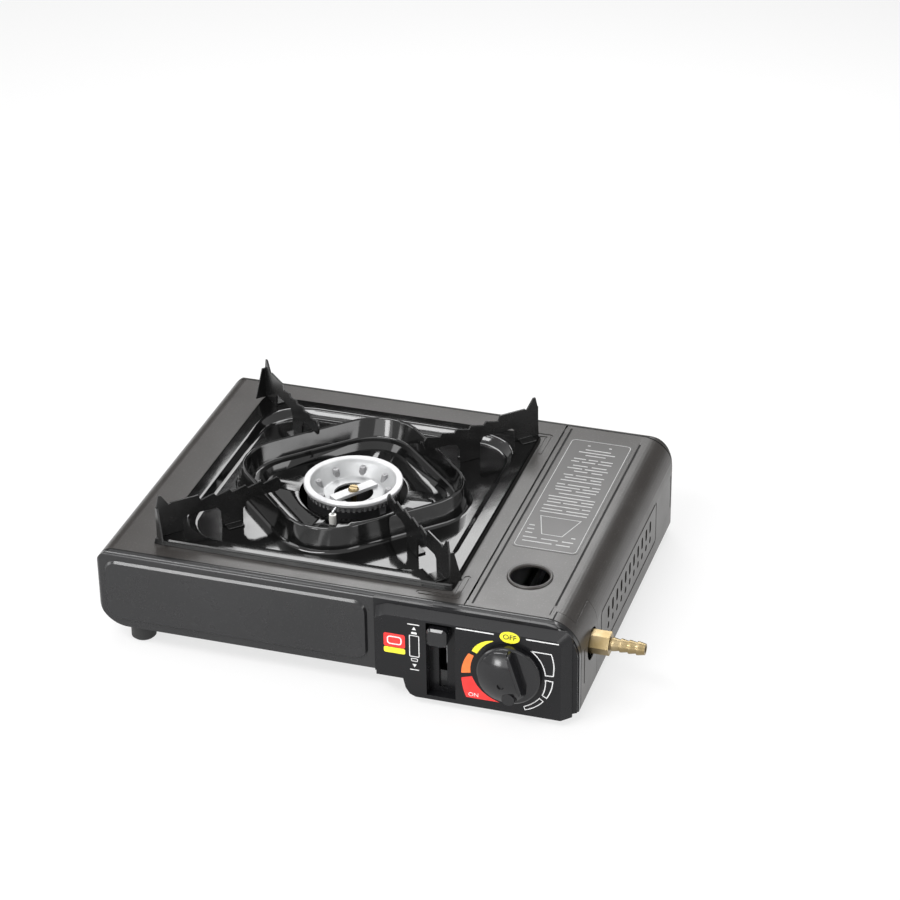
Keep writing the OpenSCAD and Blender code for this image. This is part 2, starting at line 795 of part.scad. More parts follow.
// the slanted slot that drives the carriage's pin
module lever_cam_slot() {
    slot_r = pin_r + gap;
    slope_y = can_travel / lever_travel;
    over = 0.4;
    translate([arm_x - 1, 0, 0]) rotate([90, 0, 90]) linear_extrude(arm_w + 2) {
        translate([pin_y + over * slope_y, pin_z - over]) circle(slot_r);
        translate([pin_y - can_travel - over * slope_y, pin_z + lever_travel + over]) circle(slot_r);
        w = slot_r * sqrt(1 + slope_y * slope_y);
        polygon([
            [pin_y + over * slope_y - w, pin_z - over],
            [pin_y + over * slope_y + w, pin_z - over],
            [pin_y - can_travel - over * slope_y + w, pin_z + lever_travel + over],
            [pin_y - can_travel - over * slope_y - w, pin_z + lever_travel + over]
        ]);
    }
}

module lever_leaf_spring() place() color("silver") {
    leaf_x = arm_x + arm_w + gap;
    span([leaf_x, front_y + sheet, knob_z - 8], [leaf_x + 9, front_y + sheet + 0.8, knob_z + 8]);
    span([leaf_x, front_y + sheet, knob_z - 4], [leaf_x + 0.6, front_y + 11, knob_z + 4]);
}

module cartridge_carriage() place() color("silver") {
    post_x = arm_x + arm_w + 1.7;
    back_y = can_back_y + gap;
    span([rail_x, pin_y - 4, rail_z], [rail_x + rail_w, back_y + 2, rail_z + rail_h]);
    span([rail_x, back_y, rail_z], [side_x - right_foot_side - 5, back_y + 2, can_z + 6]);
    span([post_x, pin_y - 4, rail_z], [rail_x + eps, pin_y + 4, rail_z + 1.5]);
    span([post_x, pin_y - 4, rail_z], [post_x + 3, pin_y + 4, pin_z + 4]);
    rod_x(pin_y, pin_z, arm_x - 1.2, post_x + 1, pin_r);
}

// two staples on the trough floor that hold the carriage's rail down
module carriage_guides() place() color("silver") {
    for (y = [front_y + 80, rear_y - 72]) difference() {
        span([rail_x - gap - 1.2, y - 5, trough_top],
            [rail_x + rail_w + gap + 1.2, y + 5, rail_z + rail_h + gap + 1.2]);
        span([rail_x - gap, y - 6, trough_top - 1], [rail_x + rail_w + gap, y + 6, rail_z + rail_h + gap]);
    }
}

// ---- gas line ----

// the notched plate that lines the cartridge's collar up with the regulator
module collar_guide() place() color("silver") {
    guide_y = regulator_y;
    difference() {
        union() {
            span([can_x - 22, guide_y, trough_top], [can_x + 26, guide_y + 1.2, can_z + 18]);
            span([can_x - 22, guide_y - 12, trough_top], [can_x + 26, guide_y + eps, trough_top + 1.2]);
        }
        rod_y(can_x, can_z, guide_y - 1, guide_y + 3, 13);
        span([can_x - 2, guide_y - 1, can_z + 10], [can_x + 2, guide_y + 3, can_z + 19]);
    }
}

module regulator() place() color("#b9bbbd") {
    difference() {
        union() {
            rod_y(can_x, can_z, regulator_y - regulator_len, regulator_y - 4, regulator_r);
            rod_y(can_x, can_z, regulator_y - 4 - eps, regulator_y, 19);
            rod_y(can_x, can_z, regulator_y - eps, regulator_y + 3, 8);
        }
        rod_y(can_x, can_z, regulator_y + 3 - seat_depth, regulator_y + 4, seat_r);
    }
}

module valve_body() place() color("#a8893e") {
    back_y = regulator_y - regulator_len;
    difference() {
        union() {
            span([valve_x, valve_front_y, knob_z - 16], [valve_x + valve_w, back_y, tube_z + 6]);
            rod_y(knob_x, knob_z, valve_front_y - 2, valve_front_y + 1, 8);
            span([valve_x + 4, valve_front_y + 4, trough_top],
                [valve_x + valve_w - 4, back_y - 2, knob_z - 15]);
        }
        rod_y(knob_x, knob_z, valve_front_y - 3, valve_front_y + 15.2, spindle_r + 0.05);
        rod_x(barb_y, barb_z, valve_x + valve_w - 6, valve_x + valve_w + 1, 4);
        on_gas_line() line_rod(line_len - 2, line_len + 8, pipe_r + 0.02);
    }
}

module inlet_fitting() place() color("#b58f3c") {
    start_x = valve_x + valve_w;
    difference() {
        rod_x(barb_y, barb_z, start_x, hex_start_x, 7);
        rod_x(barb_y, barb_z, start_x - 1, hex_start_x + 1, 4);
    }
}

module hose_barb() place() color("#c8a24b") {
    barb_count = 4;
    hex_end_x = side_x + hex_out;
    barb_step = (barb_tip_x - hex_end_x - 1) / barb_count;
    neck_r = barb_r - 0.8;
    land_l = 1.2;
    difference() {
        union() {
            rod_x(barb_y, barb_z, hex_start_x - 8, hex_start_x + 1, 3.95);
            translate([hex_start_x, barb_y, barb_z]) rotate([0, 90, 0]) rotate([0, 0, 30])
                cylinder(h = hex_end_x - hex_start_x, r = hex_flats / sqrt(3), $fn = 6);
            rod_x(barb_y, barb_z, hex_end_x - eps, barb_tip_x, neck_r);
            for (i = [0:barb_count - 1])
                translate([hex_end_x + 1 + i * barb_step, barb_y, barb_z]) rotate([0, 90, 0]) {
                    cylinder(h = land_l, r = barb_r);
                    translate([0, 0, land_l]) cylinder(h = barb_step * 0.7, r1 = barb_r, r2 = neck_r);
                }
        }
        rod_x(barb_y, barb_z, hex_start_x - 9, barb_tip_x + 1, barb_bore_r);
    }
}

module piezo_igniter() place() color("#d8d4c8") {
    size = 12;
    difference() {
        span([knob_x - size / 2, cam_y - size / 2, trough_top],
            [knob_x + size / 2, cam_y + size / 2, piezo_top_z]);
        translate([knob_x, cam_y, piezo_top_z - 14]) cylinder(h = 20, r = plunger_r + gap);
    }
}

module piezo_plunger() place() color("#c03028") {
    translate([knob_x, cam_y, piezo_top_z - 8]) cylinder(h = plunger_top_z - piezo_top_z + 8, r = plunger_r);
}

// a tube swept along points: each ring lies across the path
function path_dir(p, i) =
    let(d = p[min(i + 1, len(p) - 1)] - p[max(i - 1, 0)]) d / norm(d);
function tube_ring(c, d, r, sides) =
    let(a0 = cross([0, 1, 0], d), a = a0 / norm(a0), b = cross(d, a))
    [for (k = [0:sides - 1]) c + r * (cos(k * 360 / sides) * a + sin(k * 360 / sides) * b)];

module swept_tube(p, r, sides) {
    rings = [for (i = [0:len(p) - 1]) each tube_ring(p[i], path_dir(p, i), r, sides)];
    last = (len(p) - 1) * sides;
    walls = [for (i = [0:len(p) - 2], k = [0:sides - 1])
        let(n = (k + 1) % sides)
        [i * sides + k, i * sides + n, (i + 1) * sides + n, (i + 1) * sides + k]];
    ends = [[for (k = [0:sides - 1]) sides - 1 - k], [for (k = [0:sides - 1]) last + k]];
    polyhedron(points = rings, faces = concat(walls, ends), convexity = 6);
}

electrode_x = tray_x;
electrode_y = tray_y - 44;
// the lead's way under the tray, from the electrode's foot to the striker
lead_points = [
    [electrode_x, electrode_y, 52],
    [electrode_x, electrode_y, 47],
    [electrode_x + 3, electrode_y - 2, 41],
    [electrode_x + 10, electrode_y - 7, 35],
    [electrode_x + 22, electrode_y - 16, 30],
    [electrode_x + 40, electrode_y - 28, 27],
    [electrode_x + 60, electrode_y - 38, 26],
    [electrode_x + 82, electrode_y - 46, 26.5],
    [electrode_x + 102, front_y + 30.8, 28],
    [electrode_x + 118, front_y + 30.5, 28],
    [electrode_x + 132, front_y + 26, 24],
    [electrode_x + 142, front_y + 17, 17],
    [electrode_x + 147, front_y + 13, 13.5],
    [knob_x - 6.1, cam_y, 12]
];

module igniter_lead() place() color("#c03028") {
    swept_tube(lead_points, 1.2, 8);
}

module electrode_ceramic() place() color("white") {
    translate([electrode_x, electrode_y, 52.1]) difference() {
        cylinder(h = cap_foot_z + 4.5 - 52.1, r = 2.6);
        translate([0, 0, 10]) cylinder(h = 40, r = 0.85);
    }
}

module electrode_pin() place() color("silver") {
    tip_z = cap_foot_z + 6;
    translate([electrode_x, electrode_y, 64]) cylinder(h = tip_z - 64, r = 0.8);
    rod_y(electrode_x, tip_z, electrode_y, electrode_y + 6, 0.8);
    translate([electrode_x, electrode_y, tip_z]) sphere(0.8);
}

module gas_pipe() place() color("#c9a45a") {
    on_gas_line() difference() {
        line_rod(tube_end + 12, line_len + 7, pipe_r);
        line_rod(tube_end + 11, line_len + 8, pipe_r - 0.8);
    }
}

module jet_nozzle() place() color("#c9a45a") {
    on_gas_line() difference() {
        union() {
            translate([tube_end + 4, 0, 0]) rotate([0, 90, 0]) cylinder(h = 8, r = 6, $fn = 6);
            line_rod(tube_end - 2, tube_end + 4.01, 2.5);
        }
        line_rod(tube_end - 3, tube_end + 13, 0.6);
    }
}

module jet_bracket() place() color("silver") {
    difference() {
        intersection() {
            on_gas_line() {
                translate([tube_end + 2.5, -8, -tube_z]) cube([1.5, 16, tube_z + 8]);
                translate([tube_end + 2.5, -8, trough_top - tube_z]) cube([9, 16, 1.5]);
            }
            case_solid(sheet);
        }
        on_gas_line() line_rod(tube_end, tube_end + 8, 2.55);
    }
}

module air_shutter() place() color("#b9bbbd") {
    on_gas_line() difference() {
        line_rod(tube_end - 16, tube_end + 2.3, tube_r + 1.1);
        line_rod(tube_end - 17, tube_end + 0.8, tube_r + 0.05);
        line_rod(tube_end - 1, tube_end + 4, 2.55);
        for (a = [45, 135, 225, 315]) rotate([a, 0, 0])
            translate([tube_end - 6.5, -3, 0]) cube([5.5, 6, 12]);
    }
}

module mixing_tube() place() color("#c4c6c8") {
    on_gas_line() difference() {
        line_rod(33.2, tube_end - 8, tube_r);
        line_rod(30, tube_end, tube_r - 1.5);
    }
}

// ---- burner ----

module burner_body() place() color("#55565a") {
    outer = 33;
    inner = air_hole_r + 1;
    lug_z = 57;
    difference() {
        union() {
            translate([tray_x, tray_y, 0]) rotate_extrude() {
                translate([inner, burner_z]) square([outer - inner, 2.5]);
                translate([outer - 2, burner_z]) square([2, cap_foot_z - burner_z]);
                translate([inner, burner_z]) square([2, cap_z - bowl_depth - 1.6 - burner_z]);
            }
            on_gas_line() difference() {
                line_rod(31.5, 33.2, tube_r);
                line_rod(30, 36, tube_r - 1.5);
            }
            span([electrode_x - 5, electrode_y - 5, lug_z],
                [electrode_x + 5, tray_y - outer + 0.8, lug_z + 3]);
        }
        on_gas_line() line_rod(28, 34, tube_r - 1.5);
        translate([electrode_x, electrode_y, lug_z - 1]) cylinder(h = 6, r = 2.65);
    }
}

module burner_cap() place() color("#e4e5e6") {
    bowl_floor = cap_z - bowl_depth;
    lip = 2.2;
    translate([tray_x, tray_y, 0]) {
        difference() {
            rotate_extrude() polygon([
                [cap_r, cap_z - 0.5], [cap_r - 0.5, cap_z], [bowl_r + 0.4, cap_z], [bowl_r, cap_z - 0.6],
                [bowl_r - 1.2, cap_z - 3], [air_hole_r + 8, bowl_floor + 1], [air_hole_r + 6.5, bowl_floor],
                [air_hole_r, bowl_floor], [air_hole_r, bowl_floor - 1.6],
                [air_hole_r + 7.5, bowl_floor - 1.6], [air_hole_r + 10, bowl_floor - 0.4],
                [bowl_r - 0.2, cap_foot_z], [cap_r - 2.2, cap_foot_z],
                [cap_r - 2.2, cap_z - lip], [cap_r, cap_z - lip]
            ]);
            for (i = [0:port_count - 1]) rotate([0, 0, i * 360 / port_count])
                translate([bowl_r + 1.2, -1, cap_foot_z - 1]) cube([6, 2, 3.8]);
        }
        for (i = [0:nub_count - 1]) rotate([0, 0, i * 360 / nub_count + 4])
            translate([bowl_r - 4.6, 0, bowl_floor + 1.2]) difference() {
                cylinder(h = 5.6, r1 = 3.4, r2 = 2.1);
                translate([0, 0, 3]) cylinder(h = 4, r = 0.6);
            }
    }
}

module burner_crossbar() place() color("#cfd1d3") {
    bar_z = cap_z - bowl_depth;
    translate([tray_x, tray_y, bar_z]) rotate([0, 0, 54]) difference() {
        translate([-air_hole_r - 4, -4, 0]) cube([2 * air_hole_r + 8, 8, 2.4]);
        translate([0, 0, -1]) cylinder(h = 5, r = 2.1);
    }
}

module burner_screw() place() color("#c9a45a") {
    bar_z = cap_z - bowl_depth + 2.4;
    translate([tray_x, tray_y, 0]) difference() {
        union() {
            translate([0, 0, bar_z]) cylinder(h = 2.2, r1 = 4, r2 = 3.2);
            translate([0, 0, burner_z - 5]) cylinder(h = bar_z - burner_z + 5.01, r = 2);
            translate([0, 0, burner_z - 4.8]) cylinder(h = 3, r = 4, $fn = 6);
        }
        translate([-5, -0.5, bar_z + 1.2]) cube([10, 1, 2]);
    }
}

module burner_bracket() place() color("silver") {
    half = 30;
    t = 1.5;
    translate([tray_x, tray_y, 0]) rotate([0, 0, 54]) difference() {
        union() {
            span([-half, -8, burner_z - t], [half, 8, burner_z]);
            for (s = [-1, 1]) {
                span([s > 0 ? half - t : -half, -8, floor_top], [s > 0 ? half : -half + t, 8, burner_z]);
                span([s > 0 ? half - t : -half - 8, -8, floor_top],
                    [s > 0 ? half + 8 : -half + t, 8, floor_top + t]);
            }
        }
        translate([0, 0, burner_z - 4]) cylinder(h = 6, r = 2.1);
    }
}

// ---- drip tray and pan supports ----

// distance from the centre to a rounded square's edge, in the direction t
function round_square(h, c, rot, t) =
    let(u = ((t - rot) % 90 + 90) % 90, q = h - c, cs = cos(u), sn = sin(u), md = q * (cs + sn))
    h * sn <= q * cs ? h / cs : h * cs <= q * sn ? h / sn : md + sqrt(md * md - 2 * q * q + c * c);

// the tray's upper surface from its rim to its hole: half side, corner radius, turn, height
tray_rings = let(w = well_side / 2, r = ring_side / 2) [
    [tray_half, 2.5, 0, top_z + gap],
    [tray_half - 0.6, 2.5, 0, flange_z - 0.8],
    [tray_half - 1.6, 2.5, 0, flange_z],
    [w + 1, well_r + 1, 0, flange_z],
    [w - 0.6, well_r - 0.6, 0, flange_z - 1.2],
    [w - 3, well_r - 3, 0, trough_floor_z + 0.6],
    [w - 5.5, well_r - 5, 0, trough_floor_z],
    [r + 6.5, ring_r + 5, 45, trough_floor_z],
    [r + 4, ring_r + 3, 45, trough_floor_z + 2],
    [r + 1.6, ring_r + 1.2, 45, ring_z - 1],
    [r, ring_r, 45, ring_z],
    [r - 1.6, ring_r - 1.2, 45, ring_z - 1],
    [r - 4, ring_r - 3, 45, plateau_z + 3],
    [r - 6, ring_r - 4, 45, plateau_z + 2],
    [r - 10, ring_r - 7, 45, plateau_z + 2],
    [r - 12.5, ring_r - 9, 45, gutter_z],
    [r - 17, ring_r - 13, 45, gutter_z],
    [r - 19.5, ring_r - 15, 45, plateau_z],
    [tray_hole_r, tray_hole_r, 45, plateau_z - 0.8]
];

// direction across the sheet at ring i, in half side and height
function sheet_normal(i) =
    let(n = len(tray_rings), a = tray_rings[max(i - 1, 0)], b = tray_rings[min(i + 1, n - 1)],
        d = [b[0] - a[0], b[3] - a[3]], u = d / norm(d)) [-u[1], u[0]];

function tray_under(i) =
    let(g = tray_rings[i], n = sheet_normal(i) * tray_sheet)
    [g[0] + n[0], max(g[1] + n[0], 0.5), g[2], g[3] + n[1]];

// points round a ring, closer together at its corners
function ring_points(g, n) =
    [for (k = [0:n - 1])
        let(u = k * 360 / n, t = u - 0.5 * sin(8 * u) * 180 / (8 * PI),
            r = round_square(g[0], g[1], g[2], t))
        [r * cos(t), r * sin(t), g[3]]];

module tray_body() {
    sides = 96;
    n = len(tray_rings);
    under = [for (i = [n - 1:-1:0]) i == 0
        ? [tray_rings[0][0] - tray_sheet, 1.7, 0, tray_rings[0][3]]
        : tray_under(i)];
    loops = concat(tray_rings, under);
    points = [for (g = loops) each ring_points(g, sides)];
    total = len(loops);
    faces = [for (i = [0:total - 1], k = [0:sides - 1])
        let(j = (i + 1) % total, m = (k + 1) % sides)
        [i * sides + k, i * sides + m, j * sides + m, j * sides + k]];
    polyhedron(points = points, faces = faces, convexity = 10);
}

module drip_tray() place() color("#141416") {
    difference() {
        translate([tray_x, tray_y, 0]) tray_body();
        span([electrode_x - 4.5, electrode_y - 4.5, gutter_z - 3], [electrode_x + 4.5, tray_y - 30, ring_z]);
    }
}

// outline of a pan support: distance from the burner, height
function support_outline() =
    let(foot = flange_z + 0.1, line = flange_z + pan_rise, out = support_out, arch = flange_z + 11,
        nose = ring_z + 0.3, leg_z = trough_floor_z + 0.15, first = out - 33.5,
        pitch = (first - support_in) / tooth_count)
    concat(
        [[out - 19.5, foot], [out, foot], [out - 0.6, line], [out - 2.6, line + spike_rise],
            [out - 4.6, line + spike_rise], [out - 10, line + 0.6], [out - 11.5, line + 1.9],
            [first + 1.5, line + 1.9], [first, line - notch_depth]],
        [for (k = [0:tooth_count - 1]) each [
            [first - k * pitch - pitch * 0.86, line],
            [first - (k + 1) * pitch, line - (k == tooth_count - 1 ? 1.6 : notch_depth)]]],
        [[support_in - 1.4, line - 4.5], [support_in, nose + 1], [support_in + 1.5, nose],
            [support_in + 20, nose], [support_in + 25, nose - 2], [support_in + 28, nose - 7],
            [support_in + 28.3, leg_z], [support_in + 44, leg_z], [support_in + 44.5, arch - 4],
            [support_in + 47, arch], [out - 22, arch + 0.4], [out - 19.7, arch - 2]]);

// turn points from the burner to the support's corner
module pan_support(turn) place() color("#141416") {
    foot = flange_z + 0.1;
    line = flange_z + pan_rise;
    translate([tray_x, tray_y, 0]) rotate([0, 0, turn]) {
        rotate([90, 0, 0]) linear_extrude(support_t, center = true) polygon(support_outline());
        translate([support_out - support_t, 0, 0]) rotate([90, 0, 90]) linear_extrude(support_t)
            polygon([[0, foot], [end_flange_w, foot], [3, line + 1], [0, line + 1]]);
        translate([support_in + 30, 0, trough_floor_z + 0.15]) cube([12, 7, 1.2]);
        translate([support_out - 17, -8, foot]) cube([11, 8, 1.2]);
    }
}

module pan_support_front_left() pan_support(225);
module pan_support_front_right() pan_support(315);
module pan_support_rear_right() pan_support(45);
module pan_support_rear_left() pan_support(135);

// ---- feet ----

// place and underside of each foot's seat
function foot_places() = [
    [-side_x + foot_side, front_y + foot_end, burner_floor_z],
    [-side_x + foot_side, rear_y - foot_end, burner_floor_z],
    [side_x - right_foot_side, front_y + foot_end, trough_z],
    [side_x - right_foot_side, rear_y - foot_end, trough_z]
];

module foot(index) place() color("#1b1b1d") {
    p = foot_places()[index];
    translate([p[0], p[1], 0]) difference() {
        union() {
            cylinder(h = 1.2, r1 = foot_r - 1.2, r2 = foot_r);
            translate([0, 0, 1.2]) cylinder(h = p[2] - 1.2, r = foot_r);
        }
        translate([0, 0, 1.5]) cylinder(h = 30, r = 1.65);
    }
}

module foot_front_left() foot(0);
module foot_rear_left() foot(1);
module foot_front_right() foot(2);
module foot_rear_right() foot(3);

module foot_screws() place() color("silver") {
    for (p = foot_places()) translate([p[0], p[1], 0]) {
        translate([0, 0, 1.6]) cylinder(h = p[2] + sheet - 1.6, r = 1.6);
        translate([0, 0, p[2] + sheet]) cylinder(h = 1.6, r1 = 3.6, r2 = 2.6);
    }
}

base_pan();
top_plate();
front_frame();
rear_frame();
side_cheek();
gas_lid();
lid_label();
lid_hinge_pins();
heat_shield();
control_panel();
knob();
valve_spindle();
lock_lever();
lever_leaf_spring();
cartridge_carriage();
carriage_guides();
collar_guide();
regulator();
valve_body();
inlet_fitting();
hose_barb();
piezo_igniter();
piezo_plunger();
igniter_lead();
electrode_ceramic();
electrode_pin();
gas_pipe();
jet_nozzle();
jet_bracket();
air_shutter();
mixing_tube();
burner_body();
burner_cap();
burner_crossbar();
burner_screw();
burner_bracket();
drip_tray();
pan_support_front_left();
pan_support_front_right();
pan_support_rear_right();
pan_support_rear_left();
foot_front_left();
foot_rear_left();
foot_front_right();
foot_rear_right();
foot_screws();
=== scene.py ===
import json
import math

import bpy
from mathutils import Euler, Matrix, Vector


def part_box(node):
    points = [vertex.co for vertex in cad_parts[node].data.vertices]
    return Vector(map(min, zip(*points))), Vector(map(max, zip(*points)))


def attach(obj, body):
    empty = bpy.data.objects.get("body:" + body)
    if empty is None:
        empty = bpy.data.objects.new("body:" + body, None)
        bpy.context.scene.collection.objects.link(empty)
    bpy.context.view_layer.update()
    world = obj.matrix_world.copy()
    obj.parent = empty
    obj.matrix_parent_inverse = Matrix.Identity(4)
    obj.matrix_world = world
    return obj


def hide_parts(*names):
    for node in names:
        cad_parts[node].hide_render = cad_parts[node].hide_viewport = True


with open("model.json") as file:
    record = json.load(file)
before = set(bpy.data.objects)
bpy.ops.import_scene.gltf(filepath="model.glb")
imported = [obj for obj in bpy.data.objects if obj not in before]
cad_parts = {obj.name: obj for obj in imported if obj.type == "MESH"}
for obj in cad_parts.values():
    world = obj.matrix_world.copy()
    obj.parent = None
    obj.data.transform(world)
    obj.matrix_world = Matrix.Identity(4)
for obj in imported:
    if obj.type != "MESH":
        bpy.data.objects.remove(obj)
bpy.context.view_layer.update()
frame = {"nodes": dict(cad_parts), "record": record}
nodes = frame["nodes"]
print("frame loaded:", len(nodes), "nodes")

mm = 0.001
# drawing coordinates are centred on the case, the frame on the stove's footprint
caseShift = Vector((-18.5, 11.2, 0.0))


def place(x, y, z):
    return (Vector((x, y, z)) + caseShift) * mm


# the camera, in drawing millimetres and radians

cameraValues = {
    "position": (583.8, -1667.0, 1116.8),
    "azimuth": 0.282,
    "elevation": 0.525,
    "roll": 0.003,
    "lens": 115.66,
    "sensor": 36.0,
    "shift": (-0.0906, 0.0193),
    "farClip": 20.0,  # metres
}


def makeCamera(values):
    bpy.ops.object.camera_add(location=place(*values["position"]))
    camera = bpy.context.object
    camera.name = "productCamera"
    turn = Euler((math.pi / 2 - values["elevation"], 0.0, values["azimuth"])).to_matrix()
    camera.rotation_euler = (turn @ Matrix.Rotation(values["roll"], 3, "Z")).to_euler()
    camera.data.sensor_width = values["sensor"]
    camera.data.lens = values["lens"]
    camera.data.shift_x, camera.data.shift_y = values["shift"]
    camera.data.clip_end = values["farClip"]
    bpy.context.scene.camera = camera


makeCamera(cameraValues)
print("camera set")

# procedural finishes, read in object coordinates


def link(owner, fromSocket, toSocket):
    owner.node_tree.links.new(fromSocket, toSocket)


def addNode(owner, kind, **settings):
    node = owner.node_tree.nodes.new(kind)
    for key, value in settings.items():
        setattr(node, key, value)
    return node


def noiseNode(material, source, scale, detail, stretch=(1, 1, 1)):
    mapping = addNode(material, "ShaderNodeMapping")
    mapping.inputs["Scale"].default_value = stretch
    link(material, source, mapping.inputs["Vector"])
    noise = addNode(material, "ShaderNodeTexNoise")
    noise.inputs["Scale"].default_value = scale
    noise.inputs["Detail"].default_value = detail
    link(material, mapping.outputs["Vector"], noise.inputs["Vector"])
    return noise.outputs["Fac"]


# spreads the middle of a noise over the range from low to high
def rangeNode(material, source, low, high, fromLow=0.3, fromHigh=0.7):
    node = addNode(material, "ShaderNodeMapRange")
    node.inputs["From Min"].default_value = fromLow
    node.inputs["From Max"].default_value = fromHigh
    node.inputs["To Min"].default_value = low
    node.inputs["To Max"].default_value = high
    link(material, source, node.inputs["Value"])
    return node.outputs["Result"]


# each colour is a tuple or the output of another node
def mixNode(material, factor, colourA, colourB):
    node = addNode(material, "ShaderNodeMix", data_type="RGBA")
    link(material, factor, node.inputs["Factor"])
    for socket, colour in (("A", colourA), ("B", colourB)):
        target = [i for i in node.inputs if i.name == socket and i.type == "RGBA"][0]
        if isinstance(colour, tuple):
            target.default_value = (*colour, 1.0)
        else:
            link(material, colour, target)
    return [o for o in node.outputs if o.type == "RGBA"][0]


def principledOf(material):
    material.use_nodes = True
    return material.node_tree.nodes["Principled BSDF"]


# what a finish has where its own values say nothing else: scales per metre, relief in metres
finishDefaults = {
    "driftScale": 14, "grainScale": 900, "cloudScale": 40, "stretch": (1, 1, 1),
    "fleckScale": 1100, "fleckAmount": 0.5, "fleckStart": 0.60, "fleckFull": 0.72,
    "roughness": 0.4, "roughSpread": 0.08, "bump": 0.2, "bumpDepth": 0.00005,
    "metallic": 0.0, "specular": 0.5, "coat": 0.0, "coatRoughness": 0.1,
}
noiseDetail = {"drift": 3, "fleck": 2, "grain": 5, "cloud": 4}


# a finish with colour drift, small flecks, uneven gloss and fine relief
def makeFinish(name, ownValues):
    values = {**finishDefaults, **ownValues}
    material = bpy.data.materials.new(name)
    shader = principledOf(material)
    coordinates = addNode(material, "ShaderNodeTexCoord").outputs["Object"]
    stretch = values["stretch"]
    broad = noiseNode(material, coordinates, values["driftScale"], noiseDetail["drift"], stretch)
    drift = rangeNode(material, broad, 0, 1)
    colour = mixNode(material, drift, values["colour"], values["colourB"])
    if "fleck" in values:
        speck = noiseNode(material, coordinates, values["fleckScale"], noiseDetail["fleck"])
        fleck = rangeNode(material, speck, 0.0, values["fleckAmount"],
                          values["fleckStart"], values["fleckFull"])
        colour = mixNode(material, fleck, colour, values["fleck"])
    link(material, colour, shader.inputs["Base Color"])
    fine = noiseNode(material, coordinates, values["grainScale"], noiseDetail["grain"], stretch)
    cloud = noiseNode(material, coordinates, values["cloudScale"], noiseDetail["cloud"], stretch)
    gloss = rangeNode(material, cloud, values["roughness"] - values["roughSpread"],
                      values["roughness"] + values["roughSpread"])
    link(material, gloss, shader.inputs["Roughness"])
    bump = addNode(material, "ShaderNodeBump")
    bump.inputs["Strength"].default_value = values["bump"]
    bump.inputs["Distance"].default_value = values["bumpDepth"]
    link(material, fine, bump.inputs["Height"])
    link(material, bump.outputs["Normal"], shader.inputs["Normal"])
    shader.inputs["Metallic"].default_value = values["metallic"]
    shader.inputs["Specular IOR Level"].default_value = values["specular"]
    shader.inputs["Coat Weight"].default_value = values["coat"]
    shader.inputs["Coat Roughness"].default_value = values["coatRoughness"]
    return material


